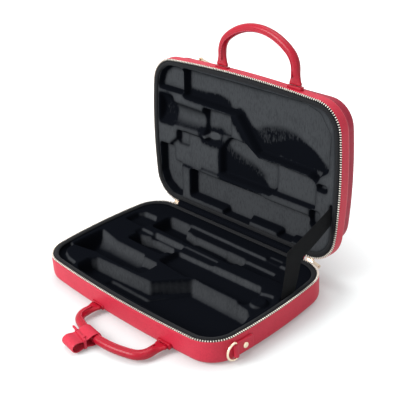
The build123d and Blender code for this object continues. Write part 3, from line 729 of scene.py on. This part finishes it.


# Patches of painted shade below 0 and painted light above it on the lid's plush: strength
# and plan outline in millimetres
LID_PAINTED_SHADING = (
    (-4.0, ((24, -11), (50, -20), (73, -31), (92, -35), (108, -29), (120, -20), (130, -11),
            (109, -10), (88, -11), (63, -13), (40, -11))),
    (-0.8, ((15, -32), (37, -43), (61, -47), (84, -44), (98, -37), (73, -29), (50, -18),
            (24, -9), (17, -19))),
    (-3.0, ((-97, -60), (-67, -60), (-43, -62), (-23, -57), (-29, -53), (-49, -54), (-80, -52),
            (-97, -55))),
    (-1.0, ((-145, -47), (-125, -51), (-117, -43), (-117, -21), (-130, -9), (-147, -8))),
    (-1.4, ((-71, -13), (-36, -20), (-36, 3), (-57, 6), (-70, 4))),
    (6.0, ((-64, -8), (-40, -12), (-40, -8), (-62, -4))),
    (-4.0, ((-36, 6), (-22, 20), (9, 26), (34, 32), (39, 40), (9, 42), (-34, 42))),
    (-0.9, ((-33, -6), (-18, 6), (17, 13), (42, 27), (9, 27), (-22, 22))),
    (-3.0, ((-9, -54), (8, -38), (25, -22), (36, -9), (30, -6), (18, -12), (2, -28), (-12, -44))),
)
# Cell of the inserts' grid, and how many times finer their beds are probed, from above the rim
CELL, FINER, PROBE_ABOVE = 0.96 * MM, 3, 3 * MM
EDGE_SOFTNESS = 1.25 * MM
# Outer edge of an insert, and the depth and inner edge of its part under the zip tape
INSERT_EDGE, UNDER_TAPE, TAPE_EDGE = 4.6 * MM, 3.25 * MM, 8.4 * MM
# Blur of the painted patches and of the painted shade on slopes, and reach of walls, in cells
PAINTED_PATCH_BLUR, SLOPE_SHADE_BLUR, WALL_REACH = 3.2, 2.6, 4
TALL_WALL = 6 * MM


def smoothed(field, sigma):
    """Gaussian blur of a grid, with sigma in cells."""
    reach = ceil(3 * sigma)
    taps = np.exp(-0.5 * (np.arange(-reach, reach + 1) / sigma) ** 2)
    taps /= taps.sum()
    for axis in (0, 1):
        edges = [(reach, reach) if a == axis else (0, 0) for a in (0, 1)]
        padded = np.pad(field, edges, mode="edge")
        count = field.shape[axis]
        field = sum(tap * padded.take(range(i, i + count), axis=axis) for i, tap in enumerate(taps))
    return field


def grid_inside(xs, ys, outline):
    """Which points of a grid lie inside a closed outline."""
    inside = np.zeros((len(ys), len(xs)), bool)
    for (ax, ay), (bx, by) in zip(outline, [*outline[1:], outline[0]]):
        if ay != by:
            beyond = xs[None, :] < (bx - ax) * (ys[:, None] - ay) / (by - ay) + ax
            inside ^= ((ay > ys[:, None]) != (by > ys[:, None])) & beyond
    return inside


def probed_depths(place, down, node):
    """Depths of a node below the rim on a grid, with every edge rounded.

    It gives the grid's x and y, the depths, and which places are in use.
    """
    fine = CELL / FINER
    xs = np.arange(-HALF_LENGTH, HALF_LENGTH, fine)
    ys = np.arange(-HALF_WIDTH, HALF_WIDTH, fine)
    source = bmesh.new()
    source.from_mesh(frame["nodes"][node].data)
    surface = BVHTree.FromBMesh(source)
    source.free()
    used = grid_inside(xs, ys, plan_ring(INSERT_EDGE))
    depths = np.full(used.shape, UNDER_TAPE)
    for j, i in zip(*np.nonzero(used)):
        above = place(xs[i], ys[j], -PROBE_ABOVE)
        depths[j, i] = surface.ray_cast(above, down)[3] - PROBE_ABOVE
    depths = smoothed(depths, EDGE_SOFTNESS / fine)[::FINER, ::FINER]
    xs, ys, used = xs[::FINER], ys[::FINER], used[::FINER, ::FINER]
    under_tape = ~grid_inside(xs, ys, plan_ring(TAPE_EDGE))
    depths[under_tape] = np.maximum(depths[under_tape], UNDER_TAPE)
    return xs, ys, depths, used


def painted_bed_shading(xs, ys, depths, shapes, slope_shade, wall_edge_shade):
    """Painted patches of a bed, and painted shade on its slopes and at the rim and foot of walls.
    """
    painted_shading = np.zeros(depths.shape)
    for value, outline in shapes:
        painted_shading += value * grid_inside(xs, ys, [(x * MM, y * MM) for x, y in outline])
    painted_shading = smoothed(painted_shading, PAINTED_PATCH_BLUR)
    slope = np.hypot(*np.gradient(depths, xs[1] - xs[0]))
    # Painted shade on slopes
    painted_shading -= slope_shade * smoothed(np.minimum(slope, 1.0), SLOPE_SHADE_BLUR)
    # Painted shade at the rim and foot of tall walls
    rim, foot = depths, depths
    shifts = range(-WALL_REACH, WALL_REACH + 1)
    for axis in (0, 1):
        rim = np.minimum.reduce([np.roll(rim, k, axis) for k in shifts])
        foot = np.maximum.reduce([np.roll(foot, k, axis) for k in shifts])
    drop = foot - rim
    climb = (depths - rim) / np.maximum(drop, 0.1 * MM)
    return painted_shading - wall_edge_shade * np.minimum(drop / TALL_WALL, 1.0) * (1 - 4 * climb * (1 - climb))


def draped(name, half, node, material, bottom, **pile):
    """Cushion whose top is the node seen from the rim, with painted shading, down to a flat bottom.
    """
    place = HALVES[half]
    down = (place(0, 0, 1) - place(0, 0, 0)).normalized()
    xs, ys, depths, used = probed_depths(place, down, node)
    painted_shading = painted_bed_shading(xs, ys, depths, **pile)
    form = bmesh.new()
    # Painted light and shade of each point, for the plush material
    layer = form.verts.layers.float.new("painted_shading")
    verts = {}
    for j, i in zip(*np.nonzero(used)):
        vert = form.verts.new(place(xs[i], ys[j], depths[j, i]))
        vert[layer] = painted_shading[j, i]
        verts[j, i] = vert
    for j, i in verts:
        corners = [verts.get(key) for key in ((j, i), (j, i + 1), (j + 1, i + 1), (j + 1, i))]
        if None not in corners:
            form.faces.new(corners)
    bmesh.ops.delete(form, geom=[v for v in form.verts if not v.link_faces], context="VERTS")
    rim = [edge for edge in form.edges if edge.is_boundary]
    grown = bmesh.ops.extrude_edge_only(form, edges=rim)["geom"]
    level = place(0, 0, bottom)
    for vert in (g for g in grown if isinstance(g, bmesh.types.BMVert)):
        vert.co += down * (level - vert.co).dot(down)
    sides = [g for g in grown if isinstance(g, bmesh.types.BMEdge)]
    bmesh.ops.edgeloop_fill(form, edges=[edge for edge in sides if edge.is_boundary])
    return finish_mesh(name, form, material, 75.0)


class MakeInserts(bpy.types.Operator):
    """Moulded plush inserts with their rounded beds"""

    bl_idname = "oboe_case.inserts"
    bl_label = "Inserts"

    def execute(self, context):
        plush = materials()["flocked_plush"]
        # The base's beds get painted shade at the rim and foot of their walls; the lid's get
        # painted patches and painted shade on their slopes
        for half, bottom, pile in (
            ("base", 29 * MM, {"shapes": (), "slope_shade": 0.0, "wall_edge_shade": 0.45}),
            ("lid", 15 * MM, {"shapes": LID_PAINTED_SHADING, "slope_shade": 0.7, "wall_edge_shade": 0.0}),
        ):
            piece = draped(half + "_plush", half, half + "_insert", plush, bottom, **pile)
            settle(piece, half, "black_plush", half + "_insert")
        return {"FINISHED"}


def strip(name, inner, outer, reach, material, columns=60):
    """Flat band along X between two section lines that have matching points."""
    form = bmesh.new()
    section = [*inner, *outer[::-1]]
    rings = []
    for c in range(columns + 1):
        x = reach * (2 * c / columns - 1)
        rings.append([form.verts.new((x, p.y, p.z)) for p in section])
    bridge(form, rings)
    last = len(section) - 1
    for end in (rings[0], rings[-1]):
        for k in range(len(inner) - 1):
            form.faces.new((end[k], end[k + 1], end[last - k - 1], end[last - k]))
    return finish_mesh(name, form, material, 50.0)


def beside_axis(y, z):
    """Point of the hinge's section, by its place beside the hinge axis in millimetres."""
    return Vector((0, HINGE_Y + y * MM, SEAM + z * MM))


# Sides of the hinge leather, in millimetres: place beyond the plan's back edge, and the
# points beside the axis at its bend
HINGE_SIDES = (
    (0.1, ((-1.0, 0.1), (-0.7, 0.7), (0.0, 1.0))),
    (1.1, ((-0.1, -0.7), (0.1, -0.2), (0.7, 0.1))),
)
HINGE_DROP = 13.5 * MM
# Lining inside the bend: its thickness and depth in millimetres, and its painted shade all over
LINING, LINING_DEPTH, LINING_PAINTED_SHADE = 0.35, 1.55, -4.0


class MakeHinge(bpy.types.Operator):
    """Leather hinge along the back and the plush lining inside it"""

    bl_idname = "oboe_case.hinge"
    bl_label = "Hinge"

    def execute(self, context):
        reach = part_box("hinge_leaf_base")[1][0]
        sides = []
        for beyond, bend in HINGE_SIDES:
            y = HALF_WIDTH + beyond * MM
            line = [in_base(0, y, HINGE_DROP * (1 - i / 8)) for i in range(8)]
            line += [beside_axis(*point) for point in bend]
            line += [in_lid(0, y, HINGE_DROP * i / 8) for i in range(2, 9)]
            sides.append(line)
        leather = strip("leather_hinge", *sides, reach, materials()["cover_leather"])
        sides = []
        for lift in (0.0, LINING):
            edge = [(0, y * MM, (LINING_DEPTH - lift) * MM) for y in (98.5, 100.0, 101.5, 102.6)]
            line = [in_base(*point) for point in edge]
            line += [beside_axis(-1.5 - lift, -0.7), beside_axis(-1.2 - lift, 0.5 + lift)]
            line += [beside_axis(-0.4, 1.35 + lift), beside_axis(0.8, 1.6 + lift)]
            line += [in_lid(*point) for point in reversed(edge)]
            sides.append(line)
        lining = strip("hinge_lining", *sides, reach, materials()["flocked_plush"])
        # The lining is painted dark all over, as painted shade inside the bend
        painted_shading = lining.data.attributes.new("painted_shading", "FLOAT", "POINT")
        painted_shading.data.foreach_set("value", [LINING_PAINTED_SHADE] * len(painted_shading.data))
        bend = {"start": tuple(beside_axis(-1.2, -1.5)), "end": tuple(beside_axis(1.8, 1.2))}
        for piece, slot in ((leather, "red_leather"), (lining, "black_plush")):
            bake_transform(piece)
        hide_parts("hinge_leaf_base", "hinge_leaf_lid")
        return {"FINISHED"}


# Face of the pocket: the middle of its height, half of its length and height, and its depth
POCKET_MIDDLE = -2.5 * MM
POCKET_HALVES = (154 * MM, 92 * MM)
POCKET_FACE = 36 * MM
# Power of the superellipse that is its outline, and the inset of its seam
POCKET_POWER, POCKET_SEAM_INSET = 7, 8.5 * MM
# Height of its crown, and how much that wanders over what distance
POCKET_CROWN, POCKET_SLACK, POCKET_WAVE = 2.2 * MM, 0.5 * MM, 45 * MM
# Inset inside which its face is evened out, and depth of wall over which its crown sets in
POCKET_EVEN, POCKET_WALL = 7 * MM, 6 * MM


def pocket_share(x, y, inset):
    """Below 1 inside the pocket's outline moved inwards, and 1 on that line."""
    length_share = abs(x) / (POCKET_HALVES[0] - inset)
    height_share = abs(y - POCKET_MIDDLE) / (POCKET_HALVES[1] - inset)
    return length_share ** POCKET_POWER + height_share ** POCKET_POWER


def pocket_crown(x, y):
    """How far the soft face of the pocket stands out beyond its edge."""
    dome = (1 - (x / POCKET_HALVES[0]) ** 4) * (1 - ((y - POCKET_MIDDLE) / POCKET_HALVES[1]) ** 4)
    slack = POCKET_SLACK * noise.noise(Vector((x, y, 0.0)) / POCKET_WAVE)
    return max(dome, 0.0) * (POCKET_CROWN + slack)


def puff_pocket(mesh):
    """Even out the face of the pocket and give it its crown."""
    for vert in mesh.vertices:
        back, up = vert.co.y - HINGE_Y, vert.co.z - SEAM
        depth = back * sin(OPEN) + up * cos(OPEN)
        y = HINGE_Y + back * cos(OPEN) - up * sin(OPEN)
        if depth > POCKET_FACE - 1.0 * MM and pocket_share(vert.co.x, y, POCKET_EVEN) < 1:
            depth = POCKET_FACE
        share = min(max((depth - POCKET_FACE) / POCKET_WALL + 1, 0.0), 1.0)
        vert.co = in_lid(vert.co.x, y, depth + share * pocket_crown(vert.co.x, y))


def pocket_seam(count=720):
    """Closed line of the topstitched seam on the pocket's face."""
    line = []
    for i in range(count):
        turn = 2 * pi * i / count
        x, y = (
            (half - POCKET_SEAM_INSET) * copysign(abs(way) ** (2 / POCKET_POWER), way)
            for half, way in zip(POCKET_HALVES, (cos(turn), sin(turn)))
        )
        y += POCKET_MIDDLE
        line.append(in_lid(x, y, POCKET_FACE + pocket_crown(x, y) + 0.1 * MM))
    return line


class MakePocket(bpy.types.Operator):
    """Flat pocket on the lid with its piping and its zip"""

    bl_idname = "oboe_case.pocket"
    bl_label = "Pocket"

    def execute(self, context):
        sizes = context.scene.oboe_case_sizes
        leather = materials()["pocket_leather"]
        solids = ("pocket_panel", "pocket_gusset")
        panel = soft_copy("pocket_front", solids, leather, 1.2 * MM, reshape=puff_pocket)
        settle(panel, "lid", "red_leather", *solids)
        piping = smooth_copy("pocket_piping", "lid_piping", leather, 80.0)
        settle(piping, "lid", "red_leather", "lid_piping")
        stitches = row(
            "pocket_stitches", pocket_seam(), True, sizes.stitch_pitch, POCKET_STITCH,
            in_lid(0, 0, 1) - in_lid(0, 0, 0), materials()["red_thread"],
        )
        settle(stitches, "lid", "red_leather")
        low, high = (Vector(corner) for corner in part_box("pocket_zip_teeth"))
        middle = (low + high) / 2
        line = [Vector((low.x + (high.x - low.x) * i / 40, *middle.yz)) for i in range(41)]
        teeth = row(
            "pocket_teeth", line, False, sizes.tooth_pitch, POCKET_TOOTH,
            in_lid(0, -1, 0) - in_lid(0, 0, 0), materials()["plated_teeth"],
        )
        settle(teeth, "lid", "zip_metal", "pocket_zip_teeth")
        tape = smooth_copy("pocket_tape", "pocket_zip_tape", materials()["woven_tape"])
        settle(tape, "lid", "black_textile", "pocket_zip_tape")
        return {"FINISHED"}


def grip_line(sizes, reach, inwards, steps=12):
    """Middle line of a handle in the closed plan, moved inwards: legs, shoulders and a crown."""
    leg = sizes.handle_leg
    rise = reach - sizes.grip - leg
    side = sizes.handle_shoulder * rise
    gap = sizes.handle_span - side
    crown = (gap ** 2 + rise ** 2 - side ** 2) / (2 * (rise - side))
    turn = atan2(crown - rise, gap)
    right = [(sizes.handle_span - inwards, -leg * (0.5 + i / 16)) for i in range(8)]
    for i in range(steps + 1):
        angle = turn * i / steps
        radius = side - inwards
        right.append((gap + radius * cos(angle), -leg - radius * sin(angle)))
    for i in range(1, steps + 1):
        angle = turn + (pi / 2 - turn) * i / steps
        radius = crown - inwards
        right.append((radius * cos(angle), crown - rise - leg - radius * sin(angle)))
    line = right + [(-x, y) for x, y in reversed(right[:-1])]
    return [(x + sizes.handle_x, y - sizes.handle_y) for x, y in line]


def tube(name, points, radius, material, flat, up, sides=10):
    """Flattened cord along a line, with rounded and closed ends."""
    form = bmesh.new()
    rings = []
    for i, point in enumerate(points):
        way = (points[min(i + 1, len(points) - 1)] - points[max(i - 1, 0)]).normalized()
        across = way.cross(up).normalized()
        over = across.cross(way) * flat
        ends = min(i, len(points) - 1 - i)
        size = radius * (0.4, 0.85, 1.0)[min(ends, 2)]
        angles = [2 * pi * k / sides for k in range(sides)]
        rings.append([
            form.verts.new(point + (across * cos(a) + over * sin(a)) * size) for a in angles
        ])
    bridge(form, rings, caps=True)
    return finish_mesh(name, form, material, 60.0)


# Stitched seam of a handle: radius of its ridge, how flat it is, and its place round the grip
RIDGE, RIDGE_FLAT, SEAM_LEAN = 1.0 * MM, 0.85, radians(27)
LID_HANDLE_DEPTH = 9.0 * MM


class MakeHandles(bpy.types.Operator):
    """Rolled handles with their stitched seams, and the welts at their feet"""

    bl_idname = "oboe_case.handles"
    bl_label = "Handles"

    def execute(self, context):
        sizes = context.scene.oboe_case_sizes
        leather = materials()["handle_leather"]
        low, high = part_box("base_handle_core")
        lying = SEAM - (low[2] + high[2]) / 2
        for half, reach, depth in (
            ("base", sizes.base_reach, lying), ("lid", sizes.lid_reach, LID_HANDLE_DEPTH)
        ):
            place = HALVES[half]
            body = half + "_handle"
            solids = (body + "_grip", body + "_core")
            grip = soft_copy(body + "_leather", solids, leather, 0.9 * MM)
            settle(grip, body, "red_leather", *solids)
            welt = soft_copy(body + "_welt", [body + "_welts"], leather, 0.4 * MM)
            settle(welt, half, "red_leather", body + "_welts")
            path = grip_line(sizes, reach, sizes.grip * sin(SEAM_LEAN))
            depth -= sizes.grip * cos(SEAM_LEAN)
            seam = [place(x, y, depth) for x, y in path]
            up = place(0, sin(SEAM_LEAN), -cos(SEAM_LEAN)) - place(0, 0, 0)
            ridge = tube(body + "_seam", seam, RIDGE, leather, RIDGE_FLAT, up)
            settle(ridge, body, "red_leather")
            stitches = row(
                body + "_stitches", [p + up * RIDGE * RIDGE_FLAT for p in seam], False,
                sizes.stitch_pitch, HANDLE_STITCH, up, materials()["red_thread"],
            )
            settle(stitches, body, "red_leather")
        return {"FINISHED"}


# Upper half of the strap's section round the grip: millimetres out from its middle and up
STRAP_TOP = (
    (-7.7, 0.0), (-5.5, 5.3), (0.0, 7.5), (5.5, 7.1), (10.0, 5.6), (14.0, 4.9), (18.0, 5.3),
    (22.0, 6.3), (26.0, 6.3), (30.0, 4.0), (31.4, 0.0),
)
# Strap: half of its width along the grip, its thickness and how far its edges are rounded off
STRAP_HALF, STRAP_THICK, STRAP_ROUND = 12.0, 1.5, 0.45
# Belt round the strap: half of its own width, its thickness, its place along the strap, how
# askew it lies, and the half length, half height and corner radius of its loop
BELT_HALF, BELT_THICK, BELT_PLACE, BELT_ASKEW = 1.7, 0.9, 13.2, 0.12
BELT_LOOP = (12.4, 5.7, 2.0)
# Free end of the belt: its outline, the height it leaves the loop at and how fast it droops
BELT_END = ((-10.0, -1.6), (-10.0, 1.6), (-19.5, 1.4), (-22.2, 0.0), (-19.5, -1.4))
BELT_END_HEIGHT, BELT_DROOP = 6.2, 0.006
SNAP_RISE = 2.6 * MM


def closed_curve(points, steps=6):
    """Smooth closed curve through section points."""
    count = len(points)
    curve = []
    for i in range(count):
        a, b, c, d = (Vector(points[(i + k) % count]) for k in (-1, 0, 1, 2))
        linear, square, cube = c - a, 2 * a - 5 * b + 4 * c - d, 3 * b - a - 3 * c + d
        for step in range(steps):
            t = step / steps
            curve.append(0.5 * (2 * b + linear * t + square * t ** 2 + cube * t ** 3))
    return curve


def rolled_strap(beside_grip, stations=21):
    """Strap rolled round the grip, with rounded edges."""
    section = closed_curve([*STRAP_TOP, *[(out, -up) for out, up in STRAP_TOP[-2:0:-1]]])
    form = bmesh.new()
    outside, inside = [], []
    for station in range(stations):
        share = 2 * station / (stations - 1) - 1
        rounding = STRAP_ROUND * (max(0.0, abs(share) - 0.9) * 10) ** 2
        for rings, sink in ((outside, rounding), (inside, STRAP_THICK - rounding)):
            ring = []
            for i, point in enumerate(section):
                way = (section[(i + 1) % len(section)] - section[i - 1]).normalized()
                out, up = point + Vector((way.y, -way.x)) * sink
                ring.append(form.verts.new(beside_grip(share * STRAP_HALF, out, up)))
            rings.append(ring)
    bridge(form, outside + inside[::-1], closed=True)
    return form


def askew_belt(beside_grip):
    """Thin loop across the strap, slightly askew, and its pointed end."""
    wide, high, corner = BELT_LOOP
    loop = []
    for turn, (along, up) in enumerate(((1, 1), (-1, 1), (-1, -1), (1, -1))):
        centre = Vector((along * (wide - corner), up * (high - corner)))
        for step in range(5):
            angle = pi / 2 * (turn + step / 4)
            loop.append(centre + corner * Vector((cos(angle), sin(angle))))
    form = bmesh.new()
    rings = []
    section = (
        (-BELT_HALF, 0.0), (BELT_HALF, 0.0), (BELT_HALF - 0.2, BELT_THICK),
        (0.2 - BELT_HALF, BELT_THICK),
    )
    for i, (x, v) in enumerate(loop):
        way = (loop[(i + 1) % len(loop)] - loop[i - 1]).normalized()
        middle = BELT_PLACE + BELT_ASKEW * x
        rings.append([
            form.verts.new(beside_grip(x + way.y * lift, middle + side, v - way.x * lift))
            for side, lift in section
        ])
    bridge(form, rings, closed=True)
    levels = []
    for rise in (BELT_END_HEIGHT, BELT_END_HEIGHT + BELT_THICK):
        levels.append([
            form.verts.new(beside_grip(
                x, BELT_PLACE + BELT_ASKEW * x + side, rise - BELT_DROOP * (x + 10.0) ** 2
            ))
            for x, side in BELT_END
        ])
    bridge(form, levels, caps=True)
    return form


class MakeWrap(bpy.types.Operator):
    """Strap rolled round the base handle, with its belt and snap"""

    bl_idname = "oboe_case.wrap"
    bl_label = "Handle wrap"

    def execute(self, context):
        leather = materials()["cover_leather"]
        swing = next(joint for joint in frame["joints"] if joint["name"] == "wrap_swing")
        centre = Vector(swing["pos_m"])
        along = Vector(swing["axis"]).normalized()
        out = along.cross(Vector((0, 0, 1))).normalized()
        up = out.cross(along)

        def beside_grip(*place):
            return sum((way * at * MM for way, at in zip((along, out, up), place)), centre)

        for name, form, node in (
            ("wrap_strap", rolled_strap(beside_grip), "handle_wrap"),
            ("wrap_band", askew_belt(beside_grip), "wrap_belt"),
        ):
            settle(finish_mesh(name, form, leather, 50.0), "wrap", "red_leather", node)
        snap = smooth_copy("wrap_stud", "wrap_snap", leather)
        snap.data.transform(Matrix.Translation(up * SNAP_RISE))
        settle(snap, "wrap", "red_leather", "wrap_snap")
        return {"FINISHED"}


def plated(node, body):
    """Plated copy of a CAD node, riding on a body."""
    piece = smooth_copy(node + "_metal", node, materials()["plated_fittings"])
    settle(piece, body, "champagne_metal", node)


class MakeFittings(bpy.types.Operator):
    """Strap rings with their tabs and rivets, and the zip sliders with their pullers"""

    bl_idname = "oboe_case.fittings"
    bl_label = "Fittings"

    def execute(self, context):
        for side in ("left", "right"):
            solid = side + "_ring_tab"
            tab = soft_copy(side + "_tab", [solid], materials()["cover_leather"], 0.4 * MM, 2)
            settle(tab, "base", "red_leather", solid)
            for node, body in (
                ("_ring_rivet", "base"), ("_d_ring", side + "_ring"), ("_main_slider", "base"),
                ("_main_puller", side + "_puller"),
            ):
                plated(side + node, body)
        plated("pocket_slider", "pocket_runner")
        plated("pocket_puller", "pocket_tag")
        return {"FINISHED"}


# Edges of the stay, front and back, in millimetres: two places by y and z in the base, and
# one by its closed plan in the lid, at STAY_DEPTH
STAY_EDGES = (((19.5, 31.0), (36.0, 86.0), 24.5), ((44.5, 31.0), (60.0, 65.0), 49.5))
STAY_DEPTH = 2 * MM
STAY_BULGE = -3.0 * MM


class MakeStay(bpy.types.Operator):
    """Ribbon that keeps the lid from falling back"""

    bl_idname = "oboe_case.stay"
    bl_label = "Stay"

    def execute(self, context):
        low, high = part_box("lid_stay")
        x = (low[0] + high[0]) / 2
        front, back = (
            [Vector((x, y * MM, z * MM)) for y, z in placed] + [in_lid(x, end * MM, STAY_DEPTH)]
            for *placed, end in STAY_EDGES
        )
        form = bmesh.new()
        steps, columns = 14, 12
        rows = []
        for i in range(2 * steps + 1):
            part = min(i // steps, 1)
            t = i / steps - part
            a = front[part].lerp(front[part + 1], t)
            b = back[part].lerp(back[part + 1], t)
            bulge = Vector((STAY_BULGE * (1 - abs(part + t - 1)) ** 2, 0, 0))
            rows.append([
                form.verts.new(a.lerp(b, c / columns) + bulge) for c in range(columns + 1)
            ])
        for a, b in zip(rows, rows[1:]):
            for c in range(columns):
                form.faces.new((a[c], a[c + 1], b[c + 1], b[c]))
        bmesh.ops.solidify(form, geom=form.faces[:], thickness=0.9 * MM)
        piece = finish_mesh("stay_ribbon", form, materials()["woven_tape"])
        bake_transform(piece)
        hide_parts("lid_stay")
        return {"FINISHED"}


class MakeShells(bpy.types.Operator):
    """Board shells, hidden between the leather and the plush"""

    bl_idname = "oboe_case.shells"
    bl_label = "Shells"

    def execute(self, context):
        for half in HALVES:
            shell = frame["nodes"][half + "_shell"].data
            shell.materials.clear()
            shell.materials.append(materials()["pressed_board"])
        return {"FINISHED"}


# Disk lamps: name, place, what they point at, width and power
LAMPS = (
    ("key", (-0.7, -1.6, 1.3), (0, 0, 0.08), 1.2, 40.0),
    ("top", (-0.2, 0.3, 2.0), (0, 0.02, 0.05), 1.6, 16.0),
    ("fill", (1.7, -0.9, 0.9), (0, 0, 0.08), 1.2, 3.0),
)
FLOOR_HALF = 6.0


class MakeStage(bpy.types.Operator):
    """Floor, lamps, world and the photograph's camera"""

    bl_idname = "oboe_case.stage"
    bl_label = "Stage"

    def execute(self, context):
        scene = context.scene
        form = bmesh.new()
        bmesh.ops.create_grid(form, x_segments=1, y_segments=1, size=FLOOR_HALF)
        floor = finish_mesh("floor", form, materials()["paper_sweep"])
        world = bpy.data.worlds.new("studio")
        world.use_nodes = True
        tree = world.node_tree
        tree.nodes.clear()
        level = add_node(
            tree, "ShaderNodeMapRange", {"Value": seen_directly(tree), "To Min": 0.5, "To Max": 1.0}
        )
        sky = add_node(
            tree, "ShaderNodeBackground", {"Color": rgba((1, 1, 1)), "Strength": level.outputs[0]}
        )
        add_node(tree, "ShaderNodeOutputWorld", {"Surface": sky.outputs[0]})
        scene.world = world
        for name, place, aim, size, power in LAMPS:
            lamp = bpy.data.lights.new(name, "AREA")
            lamp.shape = "DISK"
            lamp.size = size
            lamp.energy = power
            holder = link(bpy.data.objects.new(name, lamp))
            holder.location = place
            way = Vector(aim) - Vector(place)
            holder.rotation_euler = way.to_track_quat("-Z", "Y").to_euler()
        photo_camera(scene)
        return {"FINISHED"}


def photo_camera(scene):
    """Camera that sees the case as the photograph does."""
    azimuth, elevation, roll = radians(47.4625), radians(27.7136), radians(-4.05597)
    distance = 978.1 * MM
    target = Vector((56.9 * MM, -10.08 * MM, 108.28 * MM + SEAM))
    focal_pixels, frame_pixels = 870.2, 400.0
    back = Vector((sin(azimuth) * cos(elevation), -cos(azimuth) * cos(elevation), sin(elevation)))
    right = Vector((0, 0, 1)).cross(back).normalized()
    up = back.cross(right)
    right_rolled = right * cos(roll) + up * sin(roll)
    up_rolled = up * cos(roll) - right * sin(roll)
    turn = Matrix((right_rolled, up_rolled, back)).transposed()
    data = bpy.data.cameras.new("photo_camera")
    data.sensor_width = 36.0
    data.lens = focal_pixels * data.sensor_width / frame_pixels
    data.clip_start = 0.01
    camera = link(bpy.data.objects.new("photo_camera", data))
    camera.matrix_world = Matrix.Translation(target + back * distance) @ turn.to_4x4()
    scene.camera = camera


MAKERS = (
    MakeStage, MakeShells, MakeCovers, MakeRims, MakeZipTeeth, MakeInserts, MakeHinge,
    MakePocket, MakeHandles, MakeWrap, MakeFittings, MakeStay,
)


class OboeCasePanel(bpy.types.Panel):
    """Sizes, colours and pieces of the oboe case"""

    bl_idname = "VIEW3D_PT_oboe_case"
    bl_label = "Oboe Case"
    bl_space_type = "VIEW_3D"
    bl_region_type = "UI"
    bl_category = "Oboe Case"

    def draw(self, context):
        layout = self.layout
        for group in (context.scene.oboe_case_sizes, context.scene.oboe_case_colours):
            for key in group.__annotations__:
                layout.prop(group, key)
        for maker in MAKERS:
            layout.operator(maker.bl_idname)


CLASSES = (CaseSizes, CaseColours, *MAKERS, OboeCasePanel)


def register():
    for cls in CLASSES:
        bpy.utils.register_class(cls)
    bpy.types.Scene.oboe_case_sizes = bpy.props.PointerProperty(type=CaseSizes)
    bpy.types.Scene.oboe_case_colours = bpy.props.PointerProperty(type=CaseColours)


def unregister():
    del bpy.types.Scene.oboe_case_colours
    del bpy.types.Scene.oboe_case_sizes
    for cls in reversed(CLASSES):
        bpy.utils.unregister_class(cls)


def main():
    register()
    scene = bpy.context.scene
    scene.view_settings.view_transform = "Standard"
    for maker in MAKERS:
        group, name = maker.bl_idname.split(".")
        getattr(getattr(bpy.ops, group), name)()


if __name__ == "__main__":
    main()
